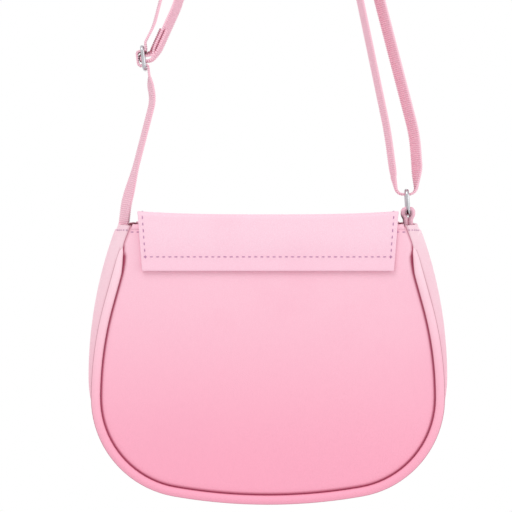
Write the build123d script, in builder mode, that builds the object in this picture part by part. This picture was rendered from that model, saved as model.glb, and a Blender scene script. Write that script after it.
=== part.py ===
from build123d import *
from math import asin, atan, atan2, cos, hypot, radians, sin, sqrt, tan
import os

# A small saddle-shaped crossbody bag, hanging by its webbing strap from a round peg.
# Millimetres. The origin is the top of the peg, where the strap's inner run rests on it.
# +Z is up, the back of the bag faces +Y and its front faces -Y. "Height" always means
# height above the bag's lowest point, and every sketch is drawn with height as its local Y.

# ---------- driving sizes ----------

# how it hangs
hang_height = 500.0        # lowest point of the bag to the top of the peg
peg_radius = 15.0

# sheets
leather = 1.2
board_thickness = 1.0
lining_thickness = 0.6
hem_thickness = 0.8
layer_gap = 0.1            # between sheets that are sewn or glued together
running_gap = 0.3          # between pieces that move past each other

# shell of the bag
bag_half = 103.4           # half width of the back at the line of its piping
bag_depth = 56.0           # between the outer faces of the two panels
rim_height = 168.0         # top of the back panel
bottom_radius = 325.0
corner_radius = 57.0
side_radius = 211.0
side_lean = 15.5           # degrees from upright, of the straight upper sides
bulge = 4.9                # the gusset swells this far past the piping at the widest
waist_corner_radius = 69.0
waist_side_radius = 255.0
waist_lean = 19.0
gusset_rise = 1.0          # the gusset's top above the back panel's
front_rim_rise = 2.5       # the front panel's top above the back panel's
piping_radius = 2.9
piping_drop = 14.0         # the piping ends this far under the rim
panel_edge_gap = 0.15      # panel edge to piping
board_inset = 6.0          # board edge inside the piping line
board_drop = 15.0
lining_inset = 4.0
lining_drop = 3.0
hem_width = 11.0
hem_end_inset = 8.0

# flap
flap_thickness = 1.4
flap_lining_thickness = 0.8
flap_edge = 2.0            # the flap's lining stops this far inside the leather
flap_half = 83.5
flap_lowest = 48.0
flap_bottom_radius = 260.0
flap_corner_radius = 46.0
flap_side_radius = 500.0
flap_side_lean = 6.2
flap_back_depth = 27.6     # lower edge of the sewn band, under the rim
flap_back_taper = 2.8
fold_gap = 1.1             # between the rolled fold and the sewn band below it

# magnetic snap
snap_height = 74.0
snap_radius = 9.0
snap_socket_depth = 2.4
snap_floor = 0.5
snap_stud_base = 1.3
snap_post_radius = 2.6
snap_post_length = 1.6
snap_hole_clearance = 0.8
snap_plate_radius = 6.5
snap_plate_thickness = 0.5

# strap webbing
strap_width = 15.0
strap_thickness = 1.5
strap_foot_depth = 18.0    # the sewn end reaches this far under the rim
swing_rise = 12.0          # the strap turns about this height above the rim
stacking_gap = 0.5         # between the two runs over the peg
strap_seat = 3.6           # sewn end's middle inside the gusset's outline at the rim

# slider and ring
wire_radius = 1.2
bar_fit = 0.15             # webbing to the bar it goes round
slider_inward = 15.6       # slider's centre inside the bag's top corner
slider_rise = 101.3
slider_lean = 7.0
slider_bar_spacing = 6.5
slider_bar_radius = 1.1    # the middle bar, a little thinner than the frame
slider_corner_radius = 2.4
slider_side_gap = 0.7
slider_slack = 0.2         # webbing to the outer bars
ring_length = 14.0
ring_lean = 4.0
ring_side_gap = 0.75
ring_corner_radius = 3.0
ring_rise = 7.0            # lower bar above the rim
ring_inward = 5.7          # lower bar inside the gusset's outline at its top
loop_drop = 2.2            # from the ring's upper bar's middle to the webbing under it
tab_width = 13.0
tab_thickness = 1.8
tab_bar_gap = 0.25
tab_foot_depth = 10.0


# ---------- outlines and planes ----------


class Pouch:
    """A pouch's outline: one bottom arc, two corner arcs, two side arcs and two straight
    upper sides, each tangent to the next. An inset outline runs parallel inside it."""

    def __init__(self, half, lowest, bottom_r, corner_r, side_r, lean, top):
        self.lowest = lowest
        self.bottom_r = bottom_r
        self.corner_r = corner_r
        self.side_r = side_r
        self.corner_x = half - corner_r
        drop = sqrt((bottom_r - corner_r) ** 2 - self.corner_x**2)
        self.corner_height = lowest + bottom_r - drop
        # the side arc ends below the top, so that a straight stretch is left
        highest = top - shortest_straight - self.corner_height
        self.lean = min(radians(lean), asin(highest / side_r))
        self.turn = atan2(self.corner_x, drop)
        self.side_x = half - side_r

    def side_at(self, height, inset=0.0):
        """Half width of the straight upper side at a height."""
        end_x = self.side_x + (self.side_r - inset) * cos(self.lean)
        end_height = self.corner_height + (self.side_r - inset) * sin(self.lean)
        return end_x - (height - end_height) * tan(self.lean)

    def right_side(self, top, inset=0.0):
        """From the lowest point up the right side to the top."""
        bottom_r = self.bottom_r - inset
        corner_r = self.corner_r - inset
        side_r = self.side_r - inset
        bottom_centre = (0, self.lowest + self.bottom_r)
        corner_centre = (self.corner_x, self.corner_height)
        side_centre = (self.side_x, self.corner_height)

        def around(centre, radius, angle):
            return (centre[0] + radius * cos(angle), centre[1] + radius * sin(angle))

        down = radians(-90)
        meet = down + self.turn
        with BuildLine(mode=Mode.PRIVATE) as half:
            ThreePointArc(
                around(bottom_centre, bottom_r, down),
                around(bottom_centre, bottom_r, (down + meet) / 2),
                around(bottom_centre, bottom_r, meet),
            )
            ThreePointArc(
                half.line @ 1,
                around(corner_centre, corner_r, meet / 2),
                around(corner_centre, corner_r, 0),
            )
            ThreePointArc(
                around(side_centre, side_r, 0),
                around(side_centre, side_r, self.lean / 2),
                around(side_centre, side_r, self.lean),
            )
            Line(around(side_centre, side_r, self.lean), (self.side_at(top, inset), top))
        return half.line

    def closed(self, top, inset=0.0):
        """The whole outline, closed by a straight top."""
        right = self.right_side(top, inset)
        end = self.side_at(top, inset)
        with BuildLine(mode=Mode.PRIVATE) as whole:
            add(right)
            add(right.mirror(Plane.YZ))
            Line((-end, top), (end, top))
        return whole.line


def facing(y):
    """The upright plane at y. A sketch on it extrudes towards the front of the bag."""
    return Plane(origin=(0, y, -hang_height), x_dir=(1, 0, 0), z_dir=(0, -1, 0))


def sideways(x):
    """The upright plane at x, with Y as local X. A sketch on it extrudes towards +X."""
    return Plane(origin=(x, 0, -hang_height), x_dir=(0, 1, 0), z_dir=(1, 0, 0))


def point_at(spot, y=0.0):
    """A point (x, height) in the bag's frame."""
    return Vector(spot[0], y, spot[1] - hang_height)


# the line of the piping, the gusset's outline half way between the panels, and the flap
shortest_straight = 6.0
lowest = piping_radius + layer_gap
seam = Pouch(
    bag_half, lowest, bottom_radius, corner_radius, side_radius, side_lean, rim_height
)
waist = Pouch(
    bag_half + bulge,
    lowest,
    bottom_radius,
    waist_corner_radius,
    waist_side_radius,
    waist_lean,
    rim_height,
)
flap_line = Pouch(
    flap_half,
    flap_lowest,
    flap_bottom_radius,
    flap_corner_radius,
    flap_side_radius,
    flap_side_lean,
    rim_height,
)

# where the sheets lie, from back to front
back_face = bag_depth / 2
back_inside = back_face - leather
back_board_y = back_inside - layer_gap
back_lining_y = back_board_y - board_thickness - layer_gap
front_face = -bag_depth / 2
front_inside = front_face + leather
snap_room = snap_plate_thickness + 2 * layer_gap
front_board_y = front_inside + snap_room + board_thickness
front_lining_y = front_board_y + layer_gap

panel_inset = piping_radius + panel_edge_gap
piping_y = back_face - leather / 2 - 0.3 * piping_radius
gusset_edge_y = piping_y - piping_radius - layer_gap
front_rim = rim_height + front_rim_rise
gusset_top = rim_height + gusset_rise
piping_top = rim_height - piping_drop

flap_total = flap_thickness + flap_lining_thickness + layer_gap
fold_radius = flap_total / 2
fold_height = front_rim + running_gap + fold_radius
back_fold_y = back_face + layer_gap + fold_radius
snap_stack = snap_socket_depth + snap_stud_base + running_gap + 2 * layer_gap
front_fold_y = front_face - snap_stack - fold_radius
flap_top_half = flap_line.side_at(fold_height)

os.makedirs("parts", exist_ok=True)


# ---------- panels, boards and lining ----------

with BuildPart() as back_panel:
    with BuildSketch(facing(back_face)):
        with BuildLine():
            add(seam.closed(rim_height, panel_inset))
        make_face()
    extrude(amount=leather)
back_panel.part.label = "back_panel"
export_step(back_panel.part, "parts/back_panel.step")

with BuildPart() as front_panel:
    with BuildSketch(facing(front_inside)):
        with BuildLine():
            add(seam.closed(front_rim, panel_inset))
        make_face()
    extrude(amount=leather)
front_panel.part.label = "front_panel"
export_step(front_panel.part, "parts/front_panel.step")

with BuildPart() as back_board:
    with BuildSketch(facing(back_board_y)):
        with BuildLine():
            add(seam.closed(rim_height - board_drop, board_inset))
        make_face()
    extrude(amount=board_thickness)
back_board.part.label = "back_board"
export_step(back_board.part, "parts/back_board.step")

with BuildPart() as front_board:
    with BuildSketch(facing(front_board_y)):
        with BuildLine():
            add(seam.closed(rim_height - board_drop, board_inset))
        make_face()
    extrude(amount=board_thickness)
front_board.part.label = "front_board"
export_step(front_board.part, "parts/front_board.step")

# the leather turned in along each panel's top edge
with BuildPart() as back_hem:
    with BuildSketch(facing(back_inside - layer_gap)):
        with Locations((0, rim_height - hem_width / 2)):
            Rectangle(2 * (seam.side_at(rim_height) - hem_end_inset), hem_width)
    extrude(amount=hem_thickness)
back_hem.part.label = "back_hem"
export_step(back_hem.part, "parts/back_hem.step")

with BuildPart() as front_hem:
    with BuildSketch(facing(front_inside + layer_gap + hem_thickness)):
        with Locations((0, front_rim - hem_width / 2)):
            Rectangle(2 * (seam.side_at(front_rim) - hem_end_inset), hem_width)
    extrude(amount=hem_thickness)
front_hem.part.label = "front_hem"
export_step(front_hem.part, "parts/front_hem.step")

# the gusset: one strip round both sides and the bottom, swelling between the panels
with BuildPart() as gusset:
    for inset, top, mode in ((0.0, gusset_top, Mode.ADD), (leather, front_rim, Mode.SUBTRACT)):
        for outline, y in ((seam, gusset_edge_y), (waist, 0.0), (seam, -gusset_edge_y)):
            with BuildSketch(facing(y)):
                with BuildLine():
                    add(outline.closed(top, inset))
                make_face()
        loft(mode=mode)
gusset.part.label = "gusset"
export_step(gusset.part, "parts/gusset.step")

# the lining: a bag of its own, open at the top
with BuildPart() as lining:
    with BuildSketch(facing(back_lining_y)):
        with BuildLine():
            add(seam.closed(rim_height - lining_drop, lining_inset))
        make_face()
    extrude(amount=back_lining_y - front_lining_y)
    with BuildSketch(facing(back_lining_y - lining_thickness)):
        with BuildLine():
            add(seam.closed(rim_height, lining_inset + lining_thickness))
        make_face()
    extrude(amount=back_lining_y - front_lining_y - 2 * lining_thickness, mode=Mode.SUBTRACT)
lining.part.label = "lining"
export_step(lining.part, "parts/lining.step")

# the covered cord sewn round each panel, up to a point below the rim at both corners
for name, y in (("back_piping", piping_y), ("front_piping", -piping_y)):
    with BuildPart() as piping:
        for half in (seam.right_side(piping_top), seam.right_side(piping_top).mirror(Plane.YZ)):
            path = facing(y) * half
            with BuildSketch(Plane(origin=path @ 0, z_dir=path % 0)):
                Circle(piping_radius)
            sweep(path=path)
    piping.part.label = name
    export_step(piping.part, f"parts/{name}.step")


# ---------- flap ----------

flap_back_top = fold_height - fold_radius - fold_gap
flap_back_low = rim_height - flap_back_depth
with BuildPart() as flap_back:
    with BuildSketch(facing(back_face + layer_gap + flap_total)):
        with BuildLine():
            Polyline(
                (-flap_top_half, flap_back_top),
                (flap_top_half, flap_back_top),
                (flap_top_half - flap_back_taper, flap_back_low),
                (-flap_top_half + flap_back_taper, flap_back_low),
                close=True,
            )
        make_face()
    extrude(amount=flap_total)
flap_back.part.label = "flap_back"
export_step(flap_back.part, "parts/flap_back.step")

# the flap's top, rolled at both ends about the two fold lines
with BuildPart() as flap_top:
    with BuildSketch(sideways(0)):
        with Locations((back_fold_y, fold_height), (front_fold_y, fold_height)):
            Circle(fold_radius)
        with Locations((front_fold_y, fold_height + fold_radius)):
            Rectangle(back_fold_y - front_fold_y, flap_thickness, align=(Align.MIN, Align.MAX))
    extrude(amount=flap_top_half, both=True)
flap_top.part.label = "flap_top"
export_step(flap_top.part, "parts/flap_top.step")

with BuildPart() as flap_top_lining:
    with BuildSketch(sideways(0)):
        with Locations(((back_fold_y + front_fold_y) / 2, fold_height - fold_radius)):
            Rectangle(
                back_fold_y - front_fold_y - flap_total - 2 * layer_gap,
                flap_lining_thickness,
                align=(Align.CENTER, Align.MIN),
            )
    extrude(amount=flap_top_half - flap_edge, both=True)
flap_top_lining.part.label = "flap_top_lining"
export_step(flap_top_lining.part, "parts/flap_top_lining.step")

flap_front_top = fold_height - fold_radius - running_gap
with BuildPart() as flap_front:
    with BuildSketch(facing(front_fold_y - fold_radius + flap_thickness)):
        with BuildLine():
            add(flap_line.closed(flap_front_top))
        make_face()
    extrude(amount=flap_thickness)
flap_front.part.label = "flap_front"
export_step(flap_front.part, "parts/flap_front.step")

with BuildPart() as flap_front_lining:
    with BuildSketch(facing(front_fold_y + fold_radius)):
        with BuildLine():
            add(flap_line.closed(flap_front_top - flap_edge, flap_edge))
        make_face()
    extrude(amount=flap_lining_thickness)
flap_front_lining.part.label = "flap_front_lining"
export_step(flap_front_lining.part, "parts/flap_front_lining.step")


# ---------- magnetic snap ----------

snap_hole_radius = snap_post_radius + snap_hole_clearance
socket_face = front_face - layer_gap - snap_socket_depth
with BuildPart() as snap_socket:
    with BuildSketch(facing(front_face - layer_gap)):
        with Locations((0, snap_height)):
            Circle(snap_radius)
    extrude(amount=snap_socket_depth)
    with BuildSketch(facing(front_face - layer_gap - snap_floor)):
        with Locations((0, snap_height)):
            Circle(snap_hole_radius)
    extrude(amount=snap_socket_depth, mode=Mode.SUBTRACT)
    chamfer(snap_socket.faces().sort_by(Axis.Y)[0].edges().sort_by(SortBy.LENGTH)[-1], 0.5)
snap_socket.part.label = "snap_socket"
export_step(snap_socket.part, "parts/snap_socket.step")

with BuildPart() as snap_socket_plate:
    with BuildSketch(facing(front_inside + layer_gap + snap_plate_thickness)):
        with Locations((0, snap_height)):
            Circle(snap_plate_radius)
    extrude(amount=snap_plate_thickness)
snap_socket_plate.part.label = "snap_socket_plate"
export_step(snap_socket_plate.part, "parts/snap_socket_plate.step")

with BuildPart() as snap_stud:
    with BuildSketch(facing(socket_face - running_gap)):
        with Locations((0, snap_height)):
            Circle(snap_radius)
    extrude(amount=snap_stud_base)
    with BuildSketch(facing(socket_face - running_gap + snap_post_length)):
        with Locations((0, snap_height)):
            Circle(snap_post_radius)
    extrude(amount=snap_post_length)
snap_stud.part.label = "snap_stud"
export_step(snap_stud.part, "parts/snap_stud.step")


# ---------- metal slider and ring ----------


def wire_loop(low, high, half_width, corner):
    """A closed loop of round wire with two bars across the strap, low and high."""
    middle = (point_at(low) + point_at(high)) / 2
    up = point_at(high) - point_at(low)
    frame = Plane(origin=middle, x_dir=(0, 1, 0), z_dir=Vector(0, 1, 0).cross(up))
    with BuildSketch(mode=Mode.PRIVATE) as outline:
        RectangleRounded(2 * half_width, up.length, corner)
    path = frame * outline.face().outer_wire()
    with BuildPart(mode=Mode.PRIVATE) as loop:
        with BuildSketch(Plane(origin=path @ 0, z_dir=path % 0)):
            Circle(wire_radius)
        sweep(path=path)
    return loop.part


def at_slider(outward, along):
    """A place (x, height) given from the slider's centre, across it and along it."""
    lean = radians(slider_lean)
    x = slider_x + outward * cos(lean) + along * sin(lean)
    return (x, slider_height - outward * sin(lean) + along * cos(lean))


corner_half = waist.side_at(rim_height)
slider_x = corner_half - slider_inward
slider_height = rim_height + slider_rise
slider_half = strap_width / 2 + slider_side_gap + wire_radius

with BuildPart() as slider:
    add(
        wire_loop(
            at_slider(0, -slider_bar_spacing),
            at_slider(0, slider_bar_spacing),
            slider_half,
            slider_corner_radius,
        )
    )
    with BuildSketch(facing(slider_half)):
        with Locations(at_slider(0, 0)):
            Circle(slider_bar_radius)
    extrude(amount=2 * slider_half)
slider.part.label = "slider"
export_step(slider.part, "parts/slider.step")

ring_low = (-waist.side_at(gusset_top) + ring_inward, rim_height + ring_rise)
ring_high = (
    ring_low[0] + ring_length * sin(radians(ring_lean)),
    ring_low[1] + ring_length * cos(radians(ring_lean)),
)
ring_half = strap_width / 2 + ring_side_gap + wire_radius
with BuildPart() as ring:
    add(wire_loop(ring_low, ring_high, ring_half, ring_corner_radius))
ring.part.label = "ring"
export_step(ring.part, "parts/ring.step")


# ---------- strap and ring tab ----------


def rounded(points, wanted):
    """The radius at each inner corner: the wanted one, or what the runs beside it allow."""
    radii = []
    for before, corner, after, radius in zip(points, points[1:], points[2:], wanted):
        arriving = Vector(*corner) - Vector(*before)
        leaving = Vector(*after) - Vector(*corner)
        half_turn = radians(arriving.get_angle(leaving)) / 2
        shorter = min(arriving.length, leaving.length)
        radii.append(min(radius, 0.495 * shorter / tan(half_turn)))
    return radii


def band(points, wanted=(), width=strap_width, thickness=strap_thickness):
    """A flat strip that follows a route of (x, height) points, rounded at each corner."""
    with BuildLine(mode=Mode.PRIVATE) as route:
        if wanted:
            FilletPolyline(*points, radius=rounded(points, wanted))
        else:
            Line(*points)
    path = facing(0) * route.line
    with BuildPart(mode=Mode.PRIVATE) as strip:
        with BuildSketch(Plane(origin=path @ 0, x_dir=(0, 1, 0), z_dir=path % 0)):
            Rectangle(width, thickness)
        sweep(path=path)
    return strip.part


def apex(radius, x, height):
    """Height where lines from (x, height) and its mirror meet, with the peg's arc between."""
    centre = hang_height - peg_radius
    lean = atan(x / (centre - height)) - asin(radius / hypot(x, centre - height))
    return height + x / tan(lean), lean


# the tab: a leather strip folded over the ring's lower bar, its ends sewn into the corner
tab_radius = wire_radius + tab_bar_gap + tab_thickness / 2
tab_top = ring_low[1] + tab_radius
tab_foot = rim_height - tab_foot_depth
with BuildPart() as ring_tab:
    add(
        band(
            [
                (ring_low[0] - tab_radius, tab_foot),
                (ring_low[0] - tab_radius, tab_top),
                (ring_low[0] + tab_radius, tab_top),
                (ring_low[0] + tab_radius, tab_foot),
            ],
            [tab_radius, tab_radius],
            tab_width,
            tab_thickness,
        )
    )
ring_tab.part.label = "ring_tab"
export_step(ring_tab.part, "parts/ring_tab.step")

# the webbing's route, as (x, height): places beside the bag's corners are given by how far
# they lie inside the corner and above the rim
half_web = strap_thickness / 2
inner_bend = peg_radius + half_web
outer_bend = inner_bend + strap_thickness + stacking_gap
swing_height = rim_height + swing_rise


def beside(inward, above, side=1):
    return (side * (corner_half - inward), rim_height + above)


outer_start = beside(21.8, 121.0)
outer_apex, outer_lean = apex(outer_bend, *outer_start)
inner_start = beside(36.9, 135.0)
inner_apex, inner_lean = apex(inner_bend, *inner_start)


def outer_run(height):
    return (-(outer_apex - height) * tan(outer_lean), height)


def inner_run(height):
    return (-(inner_apex - height) * tan(inner_lean), height)


past_bar = wire_radius + slider_slack + half_web
round_bar = slider_bar_radius + bar_fit + half_web
over_loop = round_bar + 2 * half_web + bar_fit
window = (slider_bar_spacing + strap_thickness) / 2 + 0.3
loop_height = ring_high[1] - loop_drop
loop_x = ring_high[0] - 5.0
outer_end = (loop_x, loop_height + 12.0)
inner_end = inner_run(loop_height + 11.0)

foot = (waist.side_at(rim_height - strap_foot_depth) - strap_seat, rim_height - strap_foot_depth)
seat = (waist.side_at(rim_height) - strap_seat, rim_height)


def on_foot_line(height):
    along = (height - foot[1]) / (seat[1] - foot[1])
    return (foot[0] + along * (seat[0] - foot[0]), height)


# the sewn end at the bag's corner, and the run above it: they meet round the swing axis,
# one end rounded and the other hollowed
swing_radius = strap_width / 2
far = 2 * bag_half
with BuildPart() as strap_end:
    add(band([foot, on_foot_line(swing_height + swing_radius)]))
    with BuildSketch(sideways(0)):
        with Locations((0, swing_height)):
            Circle(swing_radius)
            Rectangle(2 * strap_width, far, align=(Align.CENTER, Align.MAX))
    extrude(amount=far, mode=Mode.INTERSECT)
strap_end.part.label = "strap_end"
export_step(strap_end.part, "parts/strap_end.step")

with BuildPart() as strap_lower:
    add(
        band(
            [
                on_foot_line(swing_height),
                on_foot_line(swing_height + swing_radius + 2.0),
                beside(20.2, 70.0),
                at_slider(-past_bar, -15.5),
                at_slider(-past_bar, -12.0),
            ],
            [40.0, 50.0, 30.0],
        )
    )
    with BuildSketch(sideways(0)):
        with Locations((0, swing_height)):
            Circle(swing_radius + running_gap)
            Rectangle(2 * strap_width, far, align=(Align.CENTER, Align.MAX))
    extrude(amount=far, mode=Mode.SUBTRACT)
strap_lower.part.label = "strap_lower"
export_step(strap_lower.part, "parts/strap_lower.step")

# through the slider: behind its lower bar, over the middle one, behind its upper bar
with BuildPart() as slider_bend:
    add(
        band(
            [
                at_slider(-past_bar, -12.0),
                at_slider(-past_bar, -window),
                at_slider(over_loop, -window),
                at_slider(over_loop, window),
                at_slider(-past_bar, window),
                at_slider(-past_bar, 7.8),
            ],
            [1.2, 1.6, 1.6, 1.2],
        )
    )
slider_bend.part.label = "slider_bend"
export_step(slider_bend.part, "parts/slider_bend.step")

# the outer run, from the slider over the peg and down to the ring
with BuildPart() as outer_run_whole:
    add(
        band(
            [
                at_slider(-past_bar, 7.8),
                at_slider(-past_bar, 9.6),
                outer_start,
                (0, outer_apex),
                outer_run(rim_height + 53.0),
                (loop_x, rim_height + 35.0),
                outer_end,
            ],
            [3.0, 35.0, outer_bend, 120.0, 50.0],
        )
    )

# round the ring's upper bar
with BuildPart() as ring_loop:
    add(
        band(
            [outer_end, (loop_x, loop_height), inner_run(loop_height), inner_end],
            [4.4, 4.4],
        )
    )
ring_loop.part.label = "ring_loop"
export_step(ring_loop.part, "parts/ring_loop.step")

# the inner run, from the ring back over the peg and down towards the slider's middle bar
tail_offset = strap_thickness + layer_gap
main_low = at_slider(-7.5, -round_bar)
main_way = (Vector(*inner_start) - Vector(*main_low)).normalized()
main_side = Vector(main_way.Y, -main_way.X)


def beside_main(along, offset=0.0):
    """A place along the inner run's last straight, up from its lower end."""
    spot = Vector(*main_low) + main_way * along + main_side * offset
    return (spot.X, spot.Y)


main_joint = 6.0
with BuildPart() as inner_run_whole:
    add(
        band(
            [inner_end, (0, inner_apex), inner_start, beside_main(main_joint)],
            [inner_bend, 60.0],
        )
    )

# the strap's end: round the slider's middle bar and back up, sewn flat to the inner run
tail_turn = beside_main(3.9, tail_offset)
tail_joint = beside_main(9.9, tail_offset)
tail_tip = beside_main(20.0, tail_offset)
with BuildPart() as slider_loop:
    add(
        band(
            [
                beside_main(main_joint),
                main_low,
                at_slider(round_bar, -round_bar),
                at_slider(round_bar, round_bar),
                tail_turn,
                tail_joint,
            ],
            [4.0, round_bar, round_bar, 4.0],
        )
    )
slider_loop.part.label = "slider_loop"
export_step(slider_loop.part, "parts/slider_loop.step")

with BuildPart() as strap_tail:
    add(band([tail_joint, tail_tip]))
strap_tail.part.label = "strap_tail"
export_step(strap_tail.part, "parts/strap_tail.step")

# both long runs are cut at the same height into a left, a top and a right span
top_span_height = hang_height - 50.0
for run_name, whole in (("outer", outer_run_whole), ("inner", inner_run_whole)):
    for span, low, high, side in (
        ("left", 0, top_span_height, 1),
        ("right", 0, top_span_height, -1),
        ("top", top_span_height, 2 * hang_height, 0),
    ):
        with BuildPart() as strap_span:
            add(whole.part)
            with BuildSketch(facing(strap_width)):
                with Locations((side * far, (low + high) / 2)):
                    Rectangle(2 * far, high - low)
            extrude(amount=2 * strap_width, mode=Mode.INTERSECT)
        strap_span.part.label = f"strap_{run_name}_{span}"
        export_step(strap_span.part, f"parts/strap_{run_name}_{span}.step")

webbing_volume = sum(
    piece.part.volume
    for piece in (
        strap_end,
        strap_lower,
        slider_bend,
        outer_run_whole,
        ring_loop,
        inner_run_whole,
        slider_loop,
        strap_tail,
    )
)
print("webbing length", round(webbing_volume / (strap_width * strap_thickness)))
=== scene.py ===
from math import asin, atan, atan2, ceil, cos, hypot, pi, radians, sin, sqrt, tan

import bmesh
import bpy
from bpy.props import FloatProperty, FloatVectorProperty, IntProperty, PointerProperty
from bpy.types import Operator, Panel, PropertyGroup
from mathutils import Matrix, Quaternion, Vector


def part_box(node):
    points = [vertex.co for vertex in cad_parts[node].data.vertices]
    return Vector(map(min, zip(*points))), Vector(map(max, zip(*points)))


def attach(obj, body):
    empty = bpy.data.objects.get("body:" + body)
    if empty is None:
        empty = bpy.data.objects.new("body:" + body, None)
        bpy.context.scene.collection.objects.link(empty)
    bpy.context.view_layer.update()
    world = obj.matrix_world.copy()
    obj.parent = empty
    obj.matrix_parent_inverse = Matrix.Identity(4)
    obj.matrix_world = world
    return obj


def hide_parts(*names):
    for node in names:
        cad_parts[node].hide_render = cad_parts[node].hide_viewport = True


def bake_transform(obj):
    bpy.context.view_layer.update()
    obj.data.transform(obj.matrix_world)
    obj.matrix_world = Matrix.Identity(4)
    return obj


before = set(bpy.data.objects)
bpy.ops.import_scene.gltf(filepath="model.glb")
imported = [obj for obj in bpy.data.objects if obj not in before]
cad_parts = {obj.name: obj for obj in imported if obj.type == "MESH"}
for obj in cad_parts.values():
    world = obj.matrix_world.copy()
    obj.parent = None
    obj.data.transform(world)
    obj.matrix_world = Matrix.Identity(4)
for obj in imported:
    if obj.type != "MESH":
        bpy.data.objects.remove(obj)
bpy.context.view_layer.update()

bl_info = {
    "name": "Crossbody bag",
    "version": (1, 0, 0),
    "blender": (4, 5, 0),
    "location": "3D View > Sidebar > Bag",
    "description": "Leather, webbing, thread and metal of a small crossbody bag on its strap",
    "category": "Object",
}

# Metres. +Z is up and the back of the bag faces +Y. "Height" means height above the bag's
# lowest point, and a flat place is written (x, height).
MM = 0.001

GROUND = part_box("back_piping")[0].z - 0.1 * MM
SEAM_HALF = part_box("back_panel")[1].x + 3.05 * MM
WAIST_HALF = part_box("gusset")[1].x
BACK_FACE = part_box("back_panel")[1].y
FRONT_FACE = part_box("front_panel")[0].y
BACK_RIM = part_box("back_panel")[1].z - GROUND
FRONT_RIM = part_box("front_panel")[1].z - GROUND
MIDDLE = Vector((0, 0, GROUND + BACK_RIM / 2))


# ---------- settings ----------


def length(name, value, description):
    return FloatProperty(
        name=name, description=description, default=value, unit="LENGTH", subtype="DISTANCE"
    )


def angle(name, value, description):
    return FloatProperty(
        name=name, description=description, default=radians(value), subtype="ANGLE"
    )


def share(name, value, description):
    return FloatProperty(
        name=name, description=description, default=value, min=0.0, max=1.0, subtype="FACTOR"
    )


def linear(value):
    """One channel from 0 to 255 as a scene-linear value."""
    value /= 255
    return value / 12.92 if value <= 0.04045 else ((value + 0.055) / 1.055) ** 2.4


def colour(name, red, green, blue, description):
    return FloatVectorProperty(
        name=name,
        description=description,
        default=(linear(red), linear(green), linear(blue)),
        subtype="COLOR",
        size=3,
        min=0.0,
        max=1.0,
    )


class BagShell(PropertyGroup):
    """The two panels, the gusset between them, the piping and the lining."""

    bottom_radius: length("Bottom radius", 325 * MM, "Radius of the long curve underneath")
    corner_radius: length("Corner radius", 57 * MM, "Radius of the lower corners")
    side_radius: length("Side radius", 211 * MM, "Radius of the sides")
    side_lean: angle("Side lean", 15.5, "How far the upper sides lean inwards")
    waist_corner_radius: length("Waist corner radius", 69 * MM, "Gusset's lower corners")
    waist_side_radius: length("Waist side radius", 255 * MM, "Gusset's sides")
    waist_lean: angle("Waist lean", 19, "How far the gusset's upper sides lean inwards")
    back_crown: length("Back crown", 1.6 * MM, "How far the back swells at its middle")
    front_crown: length("Front crown", 0.5 * MM, "How far the front swells at its middle")
    edge_roll: length("Edge roll", 5.0 * MM, "Width over which a panel rolls into its seam")
    edge_dip: length("Edge dip", 1.7 * MM, "Depth of a panel's edge beside the piping")
    leather: length("Leather", 1.2 * MM, "Thickness of the leather")
    hem_width: length("Hem", 11 * MM, "Leather turned in along the rims")
    piping_radius: length("Piping radius", 2.9 * MM, "Radius of the covered cord")
    piping_drop: length("Piping drop", 14 * MM, "Piping's tip under the back rim")
    piping_taper: length("Piping taper", 15 * MM, "Length over which the piping thins out")
    lining_inset: length("Lining inset", 4.2 * MM, "Lining inside the seam")
    lining_thickness: length("Lining", 0.5 * MM, "Thickness of the lining")


class BagFlap(PropertyGroup):
    """The flap, from the band sewn to the back to its rounded front."""

    half: length("Half width", 83.5 * MM, "Half width of the flap's front")
    lowest: length("Lowest", 48 * MM, "Height of the flap's lowest point")
    bottom_radius: length("Bottom radius", 260 * MM, "Radius of its lower edge")
    corner_radius: length("Corner radius", 46 * MM, "Radius of its corners")
    side_radius: length("Side radius", 500 * MM, "Radius of its sides")
    side_lean: angle("Side lean", 6.2, "How far its sides lean inwards")
    thickness: length("Thickness", 1.4 * MM, "Thickness of the flap's leather")
    band_thickness: length("Band thickness", 2.1 * MM, "Thickness of the band at the back")
    fold_radius: length("Fold radius", 2.6 * MM, "Radius of the two folds at the top")
    top_rise: length("Top rise", 1.3 * MM, "How far the top swells up")
    corner_lift: length("Corner lift", 2.0 * MM, "How far the top's ends stand up")
    stand_off: length("Stand-off", 0.9 * MM, "How far the band's lower edge stands off")
    front_crown: length("Front crown", 0.9 * MM, "How far the front swells")


class BagStrap(PropertyGroup):
    """The webbing, its slider and ring, and the tab that holds the ring."""

    width: length("Width", 15 * MM, "Width of the webbing")
    core: length("Core", 1.1 * MM, "Thickness of the webbing between its ribs")
    rib_thickness: length("Rib thickness", 1.6 * MM, "Thickness across a rib")
    rib_pitch: length("Rib pitch", 1.25 * MM, "Distance from rib to rib")
    rib_length: length("Rib length", 1.15 * MM, "Length of a rib along the webbing")
    lower_twist: angle("Lower twist", 23, "Twist between the bag and the slider")
    left_outer_twist: angle("Left outer twist", 5, "Outer run above the slider")
    left_inner_twist: angle("Left inner twist", 17, "Inner run above the slider")
    outer_twist: angle("Outer twist", -20, "Outer run above the ring")
    inner_twist: angle("Inner twist", 11, "Inner run above the ring")
    wire_radius: length("Wire radius", 1.2 * MM, "Radius of the slider's and ring's wire")
    bar_radius: length("Bar radius", 1.1 * MM, "Radius of the slider's middle bar")
    tab_thickness: length("Tab thickness", 2.9 * MM, "Thickness of the padded tab")
    tab_width: length("Tab width", 13 * MM, "Width of the tab")


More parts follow.
